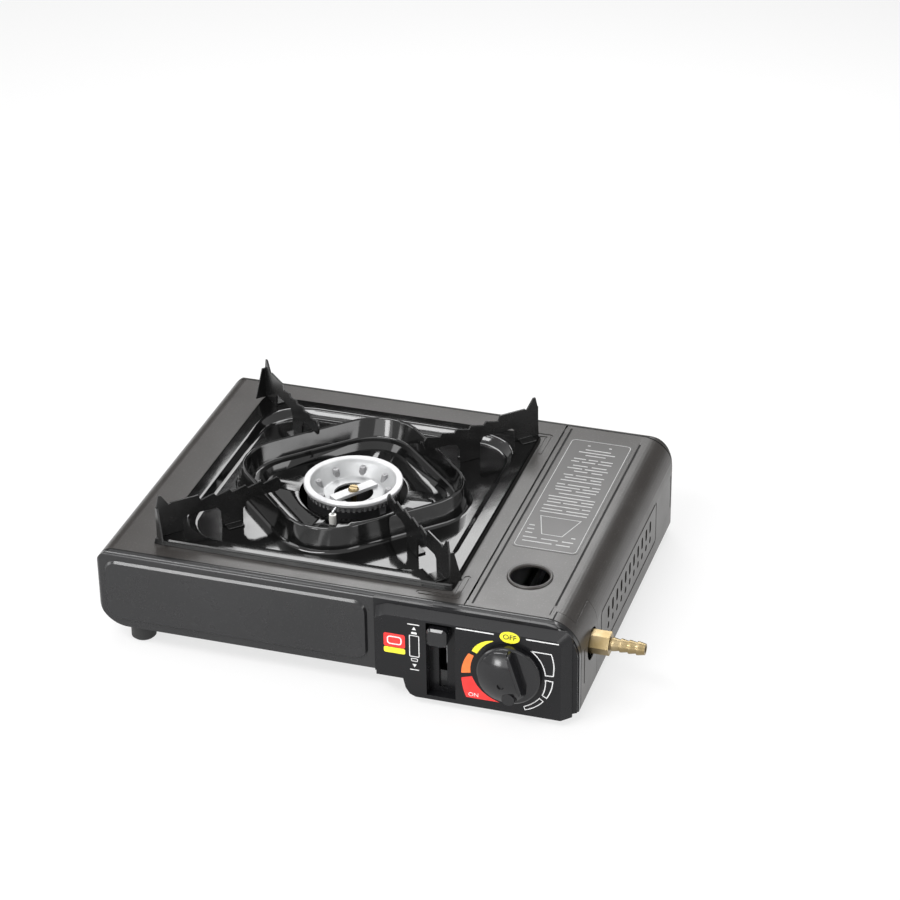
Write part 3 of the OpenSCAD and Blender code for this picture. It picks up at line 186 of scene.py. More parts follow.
finishes = {
    "casePaint": {"colour": (0.031, 0.028, 0.026), "colourB": (0.037, 0.034, 0.032),
                  "roughness": 0.33, "roughSpread": 0.03, "grainScale": 1500, "bump": 0.22,
                  "fleck": (0.12, 0.115, 0.11), "fleckAmount": 0.4},
    "frontPaint": {"colour": (0.013, 0.013, 0.014), "colourB": (0.017, 0.017, 0.018),
                   "roughness": 0.28, "specular": 0.32, "coat": 0.3, "coatRoughness": 0.10,
                   "roughSpread": 0.03, "grainScale": 1500, "bump": 0.18,
                   "fleck": (0.08, 0.08, 0.08), "fleckAmount": 0.2},
    "enamel": {"colour": (0.003, 0.003, 0.003), "colourB": (0.005, 0.005, 0.005),
               "roughness": 0.09, "roughSpread": 0.02, "grainScale": 85, "bump": 0.09,
               "bumpDepth": 0.0003, "cloudScale": 60},
    "supportEnamel": {"colour": (0.005, 0.005, 0.005), "colourB": (0.008, 0.008, 0.008),
                      "roughness": 0.24, "roughSpread": 0.05, "grainScale": 400, "bump": 0.12,
                      "bumpDepth": 0.0001, "cloudScale": 90},
    "panelPlastic": {"colour": (0.005, 0.005, 0.006), "colourB": (0.008, 0.008, 0.009),
                     "roughness": 0.28, "specular": 0.28, "roughSpread": 0.05, "grainScale": 2600,
                     "bump": 0.25},
    "controlPlastic": {"colour": (0.005, 0.005, 0.006), "colourB": (0.008, 0.008, 0.009),
                       "roughness": 0.14, "roughSpread": 0.05, "grainScale": 2200, "bump": 0.12},
    "brightAlloy": {"colour": (0.56, 0.56, 0.56), "colourB": (0.48, 0.48, 0.49),
                    "roughness": 0.40, "metallic": 0.25, "grainScale": 1400, "bump": 0.5,
                    "cloudScale": 120, "driftScale": 70},
    # darker copies of the bright alloy, painted shade on the cap's nubs, bowl and ported ring
    "nubShadeAlloy": {"colour": (0.28, 0.28, 0.285), "colourB": (0.20, 0.20, 0.205), "roughness": 0.35,
                 "metallic": 0.3, "grainScale": 900, "bump": 0.6, "driftScale": 300},
    "bowlShadeAlloy": {"colour": (0.42, 0.425, 0.43), "colourB": (0.35, 0.355, 0.36),
                  "roughness": 0.42, "metallic": 0.3, "grainScale": 900, "bump": 0.6,
                  "driftScale": 90},
    "greyAlloy": {"colour": (0.42, 0.43, 0.44), "colourB": (0.50, 0.51, 0.52), "roughness": 0.45,
                  "metallic": 0.9, "grainScale": 1200, "bump": 0.4},
    # painted shade for the cap's ported ring under its lip
    "portShadeAlloy": {"colour": (0.20, 0.20, 0.205), "colourB": (0.28, 0.28, 0.285), "roughness": 0.5,
                  "metallic": 0.3, "grainScale": 1000, "bump": 0.5, "driftScale": 60},
    "darkAlloy": {"colour": (0.022, 0.022, 0.023), "colourB": (0.040, 0.040, 0.042),
                  "roughness": 0.42, "metallic": 0.3, "grainScale": 1000, "bump": 0.5,
                  "driftScale": 60},
    "brassMetal": {"colour": (0.25, 0.185, 0.085), "colourB": (0.34, 0.27, 0.16),
                   "roughness": 0.36, "metallic": 1.0, "grainScale": 1500, "bump": 0.2,
                   "driftScale": 90},
    "zincSteel": {"colour": (0.50, 0.51, 0.52), "colourB": (0.60, 0.61, 0.62), "roughness": 0.36,
                  "metallic": 1.0, "grainScale": 600, "bump": 0.3, "stretch": (1, 6, 1)},
    "dullSteel": {"colour": (0.36, 0.37, 0.38), "colourB": (0.46, 0.47, 0.48), "roughness": 0.48,
                  "metallic": 1.0, "grainScale": 300, "bump": 0.2, "driftScale": 60},
    "whiteCeramic": {"colour": (0.80, 0.79, 0.75), "colourB": (0.86, 0.85, 0.82),
                     "roughness": 0.22, "grainScale": 800, "bump": 0.1},
    "creamPlastic": {"colour": (0.62, 0.60, 0.53), "colourB": (0.68, 0.66, 0.60),
                     "roughness": 0.5},
    "redPlastic": {"colour": (0.45, 0.03, 0.02), "colourB": (0.52, 0.05, 0.03),
                   "roughness": 0.42},
    "leadRubber": {"colour": (0.42, 0.03, 0.02), "colourB": (0.50, 0.05, 0.03), "roughness": 0.6},
    "footRubber": {"colour": (0.012, 0.012, 0.012), "colourB": (0.02, 0.02, 0.02),
                   "roughness": 0.7, "bump": 0.5},
    "labelPrint": {"colour": (0.044, 0.042, 0.041), "colourB": (0.052, 0.050, 0.048),
                   "roughness": 0.34, "roughSpread": 0.03, "grainScale": 1600, "bump": 0.15},
    "whiteInk": {"colour": (0.66, 0.66, 0.66), "colourB": (0.76, 0.76, 0.76), "roughness": 0.45,
                 "driftScale": 200},
    "labelInk": {"colour": (0.34, 0.34, 0.34), "colourB": (0.46, 0.46, 0.46), "roughness": 0.45,
                 "driftScale": 260},
    "yellowInk": {"colour": (0.80, 0.72, 0.02), "colourB": (0.86, 0.78, 0.04), "roughness": 0.4,
                  "driftScale": 200},
    "orangeInk": {"colour": (0.90, 0.17, 0.03), "colourB": (0.95, 0.21, 0.04), "roughness": 0.4,
                  "driftScale": 200},
    "redInk": {"colour": (0.86, 0.022, 0.020), "colourB": (0.92, 0.035, 0.030), "roughness": 0.4,
               "driftScale": 200},
    # near black, painted shade for the strips in the seams and the lid's grooves
    "seamShadePaint": {"colour": (0.006, 0.006, 0.006), "colourB": (0.010, 0.010, 0.010),
                  "roughness": 0.6, "specular": 0.2},
    "blackInk": {"colour": (0.02, 0.02, 0.015), "colourB": (0.03, 0.03, 0.025),
                 "roughness": 0.45},
}
paints = {name: makeFinish(name, values) for name, values in finishes.items()}

# the nodes that wear each finish
nodeFinishes = {
    "casePaint": ["base_pan", "top_plate", "rear_frame", "side_cheek", "gas_lid"],
    "frontPaint": ["front_frame"],
    "labelPrint": ["lid_label"],
    "panelPlastic": ["control_panel"],
    "controlPlastic": ["knob", "lock_lever"],
    "zincSteel": ["lid_hinge_pins", "lever_leaf_spring", "cartridge_carriage", "carriage_guides",
                  "collar_guide", "electrode_pin", "jet_bracket", "burner_bracket", "foot_screws"],
    "dullSteel": ["heat_shield"],
    "greyAlloy": ["regulator", "air_shutter", "mixing_tube"],
    "darkAlloy": ["burner_body"],
    "brightAlloy": ["burner_cap", "burner_crossbar"],
    "brassMetal": ["hose_barb", "inlet_fitting", "burner_screw", "jet_nozzle", "valve_spindle",
                   "gas_pipe", "valve_body"],
    "whiteCeramic": ["electrode_ceramic"],
    "creamPlastic": ["piezo_igniter"],
    "redPlastic": ["piezo_plunger"],
    "leadRubber": ["igniter_lead"],
    "enamel": ["drip_tray"],
    "supportEnamel": ["pan_support_front_left", "pan_support_front_right", "pan_support_rear_right",
                      "pan_support_rear_left"],
    "footRubber": ["foot_front_left", "foot_rear_left", "foot_front_right", "foot_rear_right"],
}
bodies = frame["record"]["behaviour"]["bodies"]
bodyOf = {member: body for body, members in bodies.items() for member in members}
finishOf = {member: finish for finish, members in nodeFinishes.items() for member in members}


def paint(piece, finish):
    piece.data.materials.clear()
    piece.data.materials.append(paints[finish])


for member, finish in finishOf.items():
    paint(nodes[member], finish)
print("materials:", len(paints))

# shared steps of the modelling


def deselectAll():
    if bpy.context.object and bpy.context.object.mode != "OBJECT":
        bpy.ops.object.mode_set(mode="OBJECT")
    bpy.ops.object.select_all(action="DESELECT")


def activate(piece):
    deselectAll()
    piece.select_set(True)
    bpy.context.view_layer.objects.active = piece


# the piece in edit mode, with all of it selected
def openMesh(piece, kind="FACE"):
    activate(piece)
    bpy.ops.object.mode_set(mode="EDIT")
    bpy.ops.mesh.select_mode(type=kind)
    bpy.ops.mesh.select_all(action="SELECT")


def closeMesh():
    bpy.ops.object.mode_set(mode="OBJECT")


def settle(piece):
    activate(piece)
    bpy.ops.object.transform_apply(location=True, rotation=True, scale=True)


def joinAll(pieces):
    deselectAll()
    for piece in pieces:
        piece.select_set(True)
    bpy.context.view_layer.objects.active = pieces[0]
    bpy.ops.object.join()
    return bpy.context.object


def addModifier(piece, kind, **settings):
    activate(piece)
    modifier = piece.modifiers.new(kind.lower(), kind)
    for key, value in settings.items():
        setattr(modifier, key, value)
    bpy.ops.object.modifier_apply(modifier=modifier.name)


def finishPiece(piece, name, finish, body):
    settle(piece)
    piece.name = name
    paint(piece, finish)
    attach(piece, body)


# a copy that belongs to no CAD node yet
def plainCopy(source):
    piece = source.copy()
    piece.data = source.data.copy()
    for key in [key for key in piece.keys() if key.startswith("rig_")]:
        del piece[key]
    bpy.context.scene.collection.objects.link(piece)
    piece.parent = None
    piece.matrix_world = Matrix.Identity(4)
    return piece


# angles in degrees, distances in millimetres
copyValues = {"merge": 0.002, "flatAngle": 0.2, "bevelAngle": 40, "bevelSegments": 2,
              "smoothAngle": 30, "normalWeight": 50}


def shadeSmooth(piece):
    activate(piece)
    bpy.ops.object.shade_smooth_by_angle(angle=math.radians(copyValues["smoothAngle"]))


# a merged copy of a CAD piece with its edges broken and its curves shaded smooth
def smoothCopy(node, edge):
    piece = plainCopy(nodes[node])
    openMesh(piece)
    bpy.ops.mesh.remove_doubles(threshold=copyValues["merge"] * mm)
    bpy.ops.mesh.dissolve_limited(angle_limit=math.radians(copyValues["flatAngle"]))
    closeMesh()
    if edge:
        addModifier(piece, "BEVEL", width=edge * mm, segments=copyValues["bevelSegments"],
                    limit_method="ANGLE", angle_limit=math.radians(copyValues["bevelAngle"]),
                    use_clamp_overlap=True, harden_normals=False)
    shadeSmooth(piece)
    addModifier(piece, "WEIGHTED_NORMAL", weight=copyValues["normalWeight"], keep_sharp=True)
    finishPiece(piece, node + "Shell", finishOf[node], bodyOf[node])
    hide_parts(node)
    return piece


# how wide each node's edges are broken, 0 where its sheet's edges stay as they are
edgeBreaks = {
    "base_pan": 0.0, "top_plate": 0.25, "front_frame": 0.3, "rear_frame": 0.3, "side_cheek": 0.2,
    "gas_lid": 0.0, "control_panel": 0.5, "knob": 0.5, "lock_lever": 0.5, "hose_barb": 0.15,
    "burner_cap": 0.15, "burner_body": 0.0, "burner_crossbar": 0.3, "burner_screw": 0.2,
    "drip_tray": 0.0, "pan_support_front_left": 0.3, "pan_support_front_right": 0.3,
    "pan_support_rear_right": 0.3, "pan_support_rear_left": 0.3, "electrode_ceramic": 0.3,
    "lid_label": 0.0,
}
shells = {name: smoothCopy(name, edge) for name, edge in edgeBreaks.items()}
for name, node in nodes.items():
    if name not in shells:
        shadeSmooth(node)
print("merged copies:", len(shells))

# painted shade: near-black strips in the seams between the sheets and in the lid's grooves stand
# for the shade in these gaps; each is the slice of a piece between a low and a high corner, raised
# a little over the sheet that it is cut from
seamLift = 0.05
seamValues = {
    "frontSeamShade": {"node": "front_frame", "low": (-200, -128.1, 0), "high": (200, -127.0, 100)},
    "rearSeamShade": {"node": "rear_frame", "low": (-200, 127.0, 0), "high": (200, 128.1, 100)},
    "lidSeamShade": {"node": "heat_shield", "low": (90.2, -140, 72.6), "high": (93.0, 140, 100)},
    "cornerSeamShade": {"node": "side_cheek", "low": (152.4, -140, 60), "high": (153.3, 0, 100)},
    "lidGrooveShadeLeft": {"node": "gas_lid", "low": (95.3, -123.5, 74.4),
                    "high": (96.7, 123.5, 74.8)},
    "lidGrooveShadeRight": {"node": "gas_lid", "low": (149.3, -110.5, 74.4),
                     "high": (150.7, 114.5, 74.8)},
}


def makeSeamShadeLine(name, values):
    node = values["node"]
    piece = plainCopy(shells.get(node, nodes[node]))
    for corner, side in (("low", -1), ("high", 1)):
        for axis in ((side, 0, 0), (0, side, 0), (0, 0, side)):
            openMesh(piece)
            bpy.ops.mesh.bisect(plane_co=place(*values[corner]), plane_no=axis,
                                clear_outer=True)
            closeMesh()
    openMesh(piece)
    bpy.ops.transform.shrink_fatten(value=seamLift * mm)
    closeMesh()
    # the strip is painted near black as the shade in its seam or groove
    finishPiece(piece, name, "seamShadePaint", bodyOf[node])


for name, values in seamValues.items():
    makeSeamShadeLine(name, values)
print("seam lines cut:", len(seamValues))

# the cap is one alloy in lit and shaded copies: the lip keeps the bright alloy, while the bowl, the
# nubs inside it and the ported ring below the lip get darker copies of it as painted shade: radii
# from its axis and drops from its top, then how a nub's top and wall face
capShadeZones = {"lipDrop": 2.4, "ring": 30.6, "bowl": 30.2, "bowlDrop": 0.7,
            "nubCount": 8, "nubTurn": 4.0, "nubAt": 25.7, "nubRadius": 3.5,
            "nubTop": 0.98, "nubWall": 0.8,
            "finishes": {"ports": "portShadeAlloy", "bowl": "bowlShadeAlloy", "nubs": "nubShadeAlloy"}}


def paintCapShadeZones(values):
    low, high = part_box("burner_cap")
    centre = (low + high) / 2
    cap = shells["burner_cap"]
    zoneSlots = {}
    for zone, finish in values["finishes"].items():
        zoneSlots[zone] = len(cap.data.materials)
        cap.data.materials.append(paints[finish])
    nubs = []
    for step in range(values["nubCount"]):
        turn = math.radians(values["nubTurn"] + step * 360 / values["nubCount"])
        nubs.append(centre.xy + values["nubAt"] * mm * Vector((math.cos(turn), math.sin(turn))))
    for face in cap.data.polygons:
        out = (face.center.xy - centre.xy).length / mm
        drop = (high.z - face.center.z) / mm
        reach = min((face.center.xy - nub for nub in nubs), key=lambda offset: offset.length)
        onNub = reach.length / mm < values["nubRadius"] and (
            face.normal.z > values["nubTop"]
            or face.normal.xy.dot(reach.normalized()) > values["nubWall"])
        if out > values["ring"] and drop > values["lipDrop"]:
            face.material_index = zoneSlots["ports"]
        elif onNub:
            face.material_index = zoneSlots["nubs"]
        elif out < values["bowl"] and drop > values["bowlDrop"]:
            face.material_index = zoneSlots["bowl"]


paintCapShadeZones(capShadeZones)
print("cap painted")

# printed marks on the panel: places are x and z in drawing millimetres

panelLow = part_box("control_panel")[0]
# lift is for ink that is printed over other ink
inkValues = {"depth": 0.06, "lift": 0.05, "cornerSegments": 8}


def onPanel(x, z, lift=0.0):
    spot = place(x, 0, z)
    spot.y = panelLow.y - lift * mm
    return spot


# gives a flat piece the ink's thickness
def thicken(piece):
    settle(piece)
    addModifier(piece, "SOLIDIFY", thickness=inkValues["depth"] * mm, offset=0.0)
    openMesh(piece)
    bpy.ops.mesh.normals_make_consistent(inside=False)
    closeMesh()


def inkOnPanel(piece, name, finish):
    thicken(piece)
    finishPiece(piece, name, finish, "stove")


def roundCorners(piece, radius):
    openMesh(piece)
    bpy.ops.mesh.bevel(affect="VERTICES", offset=radius * mm,
                       segments=inkValues["cornerSegments"])
    closeMesh()


# leaves an outline of that width
def hollowOut(piece, width):
    openMesh(piece)
    bpy.ops.mesh.inset(thickness=width * mm, depth=0.0, use_boundary=True)
    bpy.ops.mesh.delete(type="FACE")
    closeMesh()


knobCentre = (127.5, 37.5)
bandSteps = 160
# circles are given as x, z and radius, measured from the knob's centre, and angles in degrees
bandValues = {
    "yellowBand": {"finish": "yellowInk", "angles": (117, 155), "inner": (0, 0, 25.2),
                   "outer": (-10.74, 5.65, 17.1)},
    "orangeBand": {"finish": "orangeInk", "angles": (161, 191), "inner": (-0.5, -2.84, 27.1),
                   "outer": (-3.56, -7.32, 30.4)},
    "redBand": {"finish": "redInk", "angles": (197, 254), "inner": (-0.93, 0.84, 27.0),
                "outer": (8.94, -9.0, 42.8), "bottom": -25.5},
    "upperBox": {"finish": "whiteInk", "angles": (4, 54), "inner": (0, 0, 24.15),
                 "outer": (-4.86, 8.31, 35.5), "top": 19.9, "line": 0.75},
    "middleBox": {"finish": "whiteInk", "angles": (-33, -3), "inner": (-0.64, -3.77, 24.8),
                  "outer": (-0.17, -0.55, 30.1), "line": 0.75},
    "lowerBox": {"finish": "whiteInk", "angles": (-70, -39), "inner": (-1.12, -0.86, 26.5),
                 "outer": (1.0, -1.6, 28.3), "line": 0.6},
}


def cutAway(point, normal):
    bpy.ops.mesh.select_all(action="SELECT")
    bpy.ops.mesh.bisect(plane_co=point, plane_no=normal, clear_outer=True)


# two circles bridged to a ring, then cut to its sector
def makeBand(name, values):
    centreX, centreZ = knobCentre
    rings = []
    for key in ("inner", "outer"):
        x, z, radius = values[key]
        deselectAll()
        bpy.ops.mesh.primitive_circle_add(vertices=bandSteps, radius=radius * mm,
                                          fill_type="NOTHING",
                                          location=onPanel(centreX + x, centreZ + z),
                                          rotation=(math.pi / 2, 0, 0))
        rings.append(bpy.context.object)
    piece = joinAll(rings)
    settle(piece)
    openMesh(piece, "EDGE")
    bpy.ops.mesh.bridge_edge_loops()
    start, end = (math.radians(angle) for angle in values["angles"])
    middle = onPanel(centreX, centreZ)
    cutAway(middle, (math.sin(start), 0, -math.cos(start)))
    cutAway(middle, (-math.sin(end), 0, math.cos(end)))
    if "bottom" in values:
        cutAway(onPanel(centreX, centreZ + values["bottom"]), (0, 0, -1))
    if "top" in values:
        cutAway(onPanel(centreX, centreZ + values["top"]), (0, 0, 1))
    closeMesh()
    if "line" in values:
        hollowOut(piece, values["line"])
    inkOnPanel(piece, name, values["finish"])


for name, values in bandValues.items():
    makeBand(name, values)

barValues = {
    "topLineLeft": {"finish": "whiteInk", "low": (90.2, 65.3), "high": (116.3, 66.2)},
    "topLineRight": {"finish": "whiteInk", "low": (138.5, 65.3), "high": (161.0, 66.2)},
    "fieldRed": {"finish": "redInk", "low": (39.3, 42.6), "high": (54.3, 53.2), "round": 1.4},
    "fieldYellow": {"finish": "yellowInk", "low": (39.3, 37.8), "high": (54.3, 42.2), "round": 1.2},
    "fieldMark": {"finish": "whiteInk", "low": (41.6, 44.6), "high": (52.0, 51.2), "round": 2.2,
                  "line": 0.9, "lift": inkValues["lift"]},
    "cartridgeBody": {"finish": "whiteInk", "low": (57.2, 37.2), "high": (64.4, 54.4),
                      "round": 0.8, "line": 0.6},
    "cartridgeCollar": {"finish": "whiteInk", "low": (58.4, 33.6), "high": (63.2, 36.2),
                        "round": 0.8, "line": 0.5},
    "cartridgeCap": {"finish": "whiteInk", "low": (58.8, 55.4), "high": (62.8, 57.0),
                     "round": 0.5},
    "lockDash": {"finish": "whiteInk", "low": (57.6, 26.6), "high": (63.8, 27.3)},
    "freeDash": {"finish": "whiteInk", "low": (56.2, 62.6), "high": (64.6, 63.3)},
}


# a bar between two corners, filled or as an outline
def makeBar(name, values):
    (lowX, lowZ), (highX, highZ) = values["low"], values["high"]
    middle = onPanel((lowX + highX) / 2, (lowZ + highZ) / 2, values.get("lift", 0.0))
    deselectAll()
    bpy.ops.mesh.primitive_plane_add(size=1.0, location=middle, rotation=(math.pi / 2, 0, 0))
    piece = bpy.context.object
    piece.scale = ((highX - lowX) * mm, (highZ - lowZ) * mm, 1)
    settle(piece)
    if "round" in values:
        roundCorners(piece, values["round"])
    if "line" in values:
        hollowOut(piece, values["line"])
    inkOnPanel(piece, name, values["finish"])


for name, values in barValues.items():
    makeBar(name, values)

arrowValues = {
    "arrowUp": {"centre": (60.8, 59.6), "radius": 1.7, "turn": 0},
    "arrowDown": {"centre": (60.8, 30.6), "radius": 1.7, "turn": 180},
}


def makeArrow(name, values):
    deselectAll()
    bpy.ops.mesh.primitive_circle_add(vertices=3, radius=values["radius"] * mm, fill_type="NGON",
                                      location=onPanel(*values["centre"]),
                                      rotation=(math.pi / 2, math.radians(values["turn"]), 0))
    inkOnPanel(bpy.context.object, name, "whiteInk")


for name, values in arrowValues.items():
    makeArrow(name, values)

offValues = {"centre": (127.3, 65.0), "width": 13.8, "height": 9.0, "steps": 64}


def makeOffField(values):
    deselectAll()
    bpy.ops.mesh.primitive_circle_add(vertices=values["steps"], radius=0.5, fill_type="NGON",
                                      location=onPanel(*values["centre"]),
                                      rotation=(math.pi / 2, 0, 0))
    piece = bpy.context.object
    piece.scale = (values["width"] * mm, values["height"] * mm, 1)
    inkOnPanel(piece, "offField", "yellowInk")


makeOffField(offValues)

wordValues = {
    "offWord": {"text": "OFF", "centre": (127.3, 65.0), "size": 5.4, "weight": 0.04,
                "stretch": 1.0, "finish": "blackInk"},
    "onWord": {"text": "ON", "centre": (102.0, 14.6), "size": 4.2, "weight": 0.04,
               "stretch": 1.1, "finish": "whiteInk"},
}


def makeWord(name, values):
    deselectAll()
    bpy.ops.object.text_add(location=onPanel(*values["centre"], inkValues["lift"]),
                            rotation=(math.pi / 2, 0, 0))
    piece = bpy.context.object
    piece.data.body = values["text"]
    piece.data.size = values["size"] * mm
    piece.data.align_x = "CENTER"
    piece.data.align_y = "CENTER"
    piece.data.offset = values["weight"] * mm
    piece.scale = (values["stretch"], 1, 1)
    activate(piece)
    bpy.ops.object.convert(target="MESH")
    inkOnPanel(bpy.context.object, name, values["finish"])


for name, values in wordValues.items():
    makeWord(name, values)
print("panel marks drawn")

# print on the lid label

labelLow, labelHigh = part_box("lid_label")
labelMiddle = (labelLow + labelHigh) / 2
labelValues = {
    "margin": 1.2, "corner": 3.5, "line": 0.45,
    # rows of short strokes that stand for print: how far each row lies from the rear end, then
    # the left and right ends of its strokes
    "strokeDepth": 1.1,
    "strokes": [
        (8, [(-9, -7), (7, 9)]),
        (14, [(-9, 10)]), (18, [(-13, 14)]), (22, [(-7, 8)]),
        (28, [(-14, -5), (-3, 4), (6, 15)]), (32, [(-15, -9), (-7, 3), (5, 15)]),
        (38, [(-12, -1), (2, 13)]), (42, [(-15, -4), (-2, 15)]), (46, [(-9, 1), (4, 12)]),
        (52, [(-15, -8), (-6, 15)]), (56, [(-13, 3), (6, 14)]), (60, [(-15, 15)]),
        (66, [(-16, -10), (-8, 8), (10, 16)]), (70, [(-16, 2), (4, 16)]),
        (74, [(-15, -3), (0, 15)]), (79, [(-11, 12)]), (84, [(-17, 17)]),
        (88, [(-16, 5), (8, 17)]), (92, [(-16, -6), (-4, 17)]),
        (97, [(-17, 9), (11, 17)]), (102, [(-17, -2), (1, 17)]), (106, [(-17, 17)]),
        (126, [(-19, -15)]), (131, [(-19, -14)]), (136, [(-19, -14), (14, 17)]),
        (142, [(-19, -9), (-6, 6), (9, 17)]), (147, [(-18, 3), (6, 16)]),
    ],
    # a plain sketch of a pan: two corners from the label's centre, and its foot's share of the rim
    "pan": ((-15, -58), (15, -34)), "panTaper": 0.5, "panLine": 0.6,
}


# a flat rectangle on the label, between two corners measured from its centre in millimetres
def flatPiece(low, high):
    pivot = (labelMiddle.x, labelMiddle.y, 0)
    deselectAll()
    bpy.ops.mesh.primitive_plane_add(size=1.0, location=(*labelMiddle.xy, labelHigh.z))
    piece = bpy.context.object
    settle(piece)
    openMesh(piece, "VERT")
    bpy.ops.transform.resize(value=((high[0] - low[0]) * mm, (high[1] - low[1]) * mm, 1),
                             center_override=pivot)
    bpy.ops.transform.translate(value=((high[0] + low[0]) / 2 * mm,
                                       (high[1] + low[1]) / 2 * mm, 0))
    closeMesh()
    return piece


def printStroke(left, right, fromRear, depth):
    y = (labelHigh.y - labelMiddle.y) / mm - fromRear
    return flatPiece((left, y - depth / 2), (right, y + depth / 2))


def inkOnLabel(piece, name):
    thicken(piece)
    finishPiece(piece, name, "labelInk", "lid")


def makeLabelBorder(values):
    halfX = (labelHigh.x - labelLow.x) / 2 / mm - values["margin"]
    halfY = (labelHigh.y - labelLow.y) / 2 / mm - values["margin"]
    piece = flatPiece((-halfX, -halfY), (halfX, halfY))
    roundCorners(piece, values["corner"])
    hollowOut(piece, values["line"])
    inkOnLabel(piece, "labelBorder")


def makeLabelRows(values):
    strokes = []
    for fromRear, ends in values["strokes"]:
        for left, right in ends:
            strokes.append(printStroke(left, right, fromRear, values["strokeDepth"]))
    inkOnLabel(joinAll(strokes), "labelRows")


def makePanSketch(values):
    piece = flatPiece(*values["pan"])
    openMesh(piece, "VERT")
    bpy.ops.mesh.select_all(action="DESELECT")
    closeMesh()
    middle = labelMiddle.y + sum(corner[1] for corner in values["pan"]) / 2 * mm
    for vertex in piece.data.vertices:
        vertex.select = vertex.co.y < middle
    bpy.ops.object.mode_set(mode="EDIT")
    bpy.ops.transform.resize(value=(values["panTaper"], 1, 1),
                             center_override=(labelMiddle.x, labelMiddle.y, 0))
    closeMesh()
    hollowOut(piece, values["panLine"])
    inkOnLabel(piece, "labelPan")


makeLabelBorder(labelValues)
makeLabelRows(labelValues)
makePanSketch(labelValues)
print("lid label drawn")

# floor and light


# an unshiny material of one colour, for what isn't part of the stove
def stageMaterial(name, values):
    material = bpy.data.materials.new(name)
    shader = principledOf(material)
    shader.inputs["Base Color"].default_value = (*values["colour"], 1.0)
    shader.inputs["Roughness"].default_value = values["roughness"]
    shader.inputs["Specular IOR Level"].default_value = values["specular"]
    return material


# 1 for what the camera sees, straight, mirrored or through glass, and 0 for light on the stove
def seenFactor(owner):
    rays = addNode(owner, "ShaderNodeLightPath")
    seen = rays.outputs["Is Camera Ray"]
    for kind in ("Is Glossy Ray", "Is Transmission Ray"):
        either = addNode(owner, "ShaderNodeMath", operation="MAXIMUM")
        link(owner, seen, either.inputs[0])
        link(owner, rays.outputs[kind], either.inputs[1])
        seen = either.outputs["Value"]
    return seen


# whiteShare is how much of the floor's look is plain white, and drop its gap under the feet
floorValues = {"size": 14.0, "drop": 0.4, "colour": (0.86, 0.86, 0.86), "roughness": 0.9,
               "specular": 0.1, "whiteShare": 0.72}


def makeFloor(values):
    deselectAll()
    bpy.ops.mesh.primitive_plane_add(size=values["size"], location=(0, 0, -values["drop"] * mm))
    floor = bpy.context.object
    floor.name = "studioFloor"
    material = stageMaterial("paleFloor", values)
    shader = principledOf(material)
    output = material.node_tree.nodes["Material Output"]
    glow = addNode(material, "ShaderNodeEmission")
    glow.inputs["Color"].default_value = (1, 1, 1, 1)
    glow.inputs["Strength"].default_value = 1.0
    share = addNode(material, "ShaderNodeMath", operation="MULTIPLY")
    share.inputs[1].default_value = values["whiteShare"]
    mix = addNode(material, "ShaderNodeMixShader")
    link(material, seenFactor(material), share.inputs[0])
    link(material, share.outputs["Value"], mix.inputs["Fac"])
    link(material, shader.outputs["BSDF"], mix.inputs[1])
    link(material, glow.outputs["Emission"], mix.inputs[2])
    link(material, mix.outputs["Shader"], output.inputs["Surface"])
    floor.data.materials.append(material)


makeFloor(floorValues)

# a dark card stands far behind, above the picture, and keeps the black enamel black
cardValues = {"place": (-0.6, 3.2, 1.75), "size": (7.0, 3.1), "colour": (0.02, 0.02, 0.02),
              "roughness": 0.9, "specular": 0.5}


def makeShadeCard(values):
    deselectAll()
    bpy.ops.mesh.primitive_plane_add(size=1.0, location=values["place"],
                                     rotation=(math.pi / 2, 0, 0))
    card = bpy.context.object
    card.name = "shadeCard"
    card.scale = (*values["size"], 1)
    settle(card)
    card.data.materials.append(stageMaterial("darkCard", values))
    # only mirrored rays and rays through glass meet it
    card.visible_camera = False
    card.visible_diffuse = False
    card.visible_shadow = False


makeShadeCard(cardValues)

# the world's strength as light on the stove, and as the white behind it
worldValues = {"fill": 0.30, "background": 1.0}


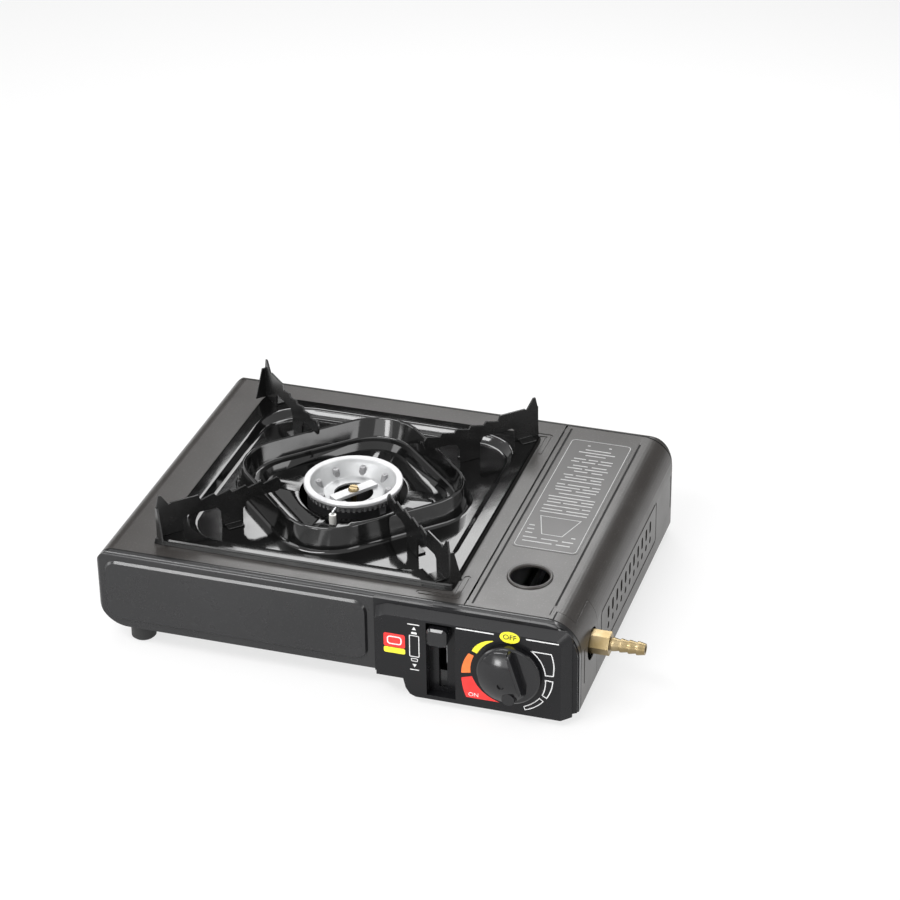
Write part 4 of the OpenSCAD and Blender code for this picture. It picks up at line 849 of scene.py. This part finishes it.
def makeWorld(values):
    world = bpy.data.worlds.new("studioWorld")
    bpy.context.scene.world = world
    world.use_nodes = True
    background = world.node_tree.nodes["Background"]
    background.inputs["Color"].default_value = (1, 1, 1, 1)
    strength = addNode(world, "ShaderNodeMapRange")
    strength.inputs["To Min"].default_value = values["fill"]
    strength.inputs["To Max"].default_value = values["background"]
    link(world, seenFactor(world), strength.inputs["Value"])
    link(world, strength.outputs["Result"], background.inputs["Strength"])


makeWorld(worldValues)

# places, aims and sizes in metres, powers in watts
lampValues = {
    "rearSoftbox": {"place": (-0.08, 0.84, 0.82), "aim": (0.0, 0.0, 0.05),
                    "size": (0.86, 0.40), "power": 7.4},
    "topSoftbox": {"place": (-0.1, -0.35, 2.1), "aim": (0.0, 0.0, 0.05),
                   "size": (1.4, 1.4), "power": 9.0},
    "leftSoftbox": {"place": (-1.7, -0.7, 0.6), "aim": (-0.05, 0.0, 0.05),
                    "size": (1.2, 0.8), "power": 12.0},
    "rightSoftbox": {"place": (1.9, -0.4, 0.5), "aim": (0.0, 0.0, 0.05),
                     "size": (1.8, 0.8), "power": 19.0},
    "frontSoftbox": {"place": (-0.3, -2.3, 0.6), "aim": (0.0, 0.0, 0.05),
                     "size": (2.0, 0.8), "power": 10.0},
    "edgeStrip": {"place": (-0.45, -0.85, 1.28), "aim": (0.0, -0.1, 0.05),
                  "size": (1.2, 0.26), "power": 15.0},
    "windowCard": {"place": (-0.66, -2.15, 0.46), "aim": (0.0, 0.0, 0.05),
                   "size": (0.5, 0.42), "power": 9.0},
}


def makeLamp(name, values):
    deselectAll()
    bpy.ops.object.light_add(type="AREA", location=values["place"])
    lamp = bpy.context.object
    lamp.name = name
    lamp.data.shape = "RECTANGLE"
    lamp.data.size, lamp.data.size_y = values["size"]
    lamp.data.energy = values["power"]
    aim = Vector(values["aim"]) - Vector(values["place"])
    lamp.rotation_euler = aim.to_track_quat("-Z", "Y").to_euler()


for name, values in lampValues.items():
    makeLamp(name, values)
bpy.context.scene.view_settings.view_transform = "Standard"
print("floor and light set")
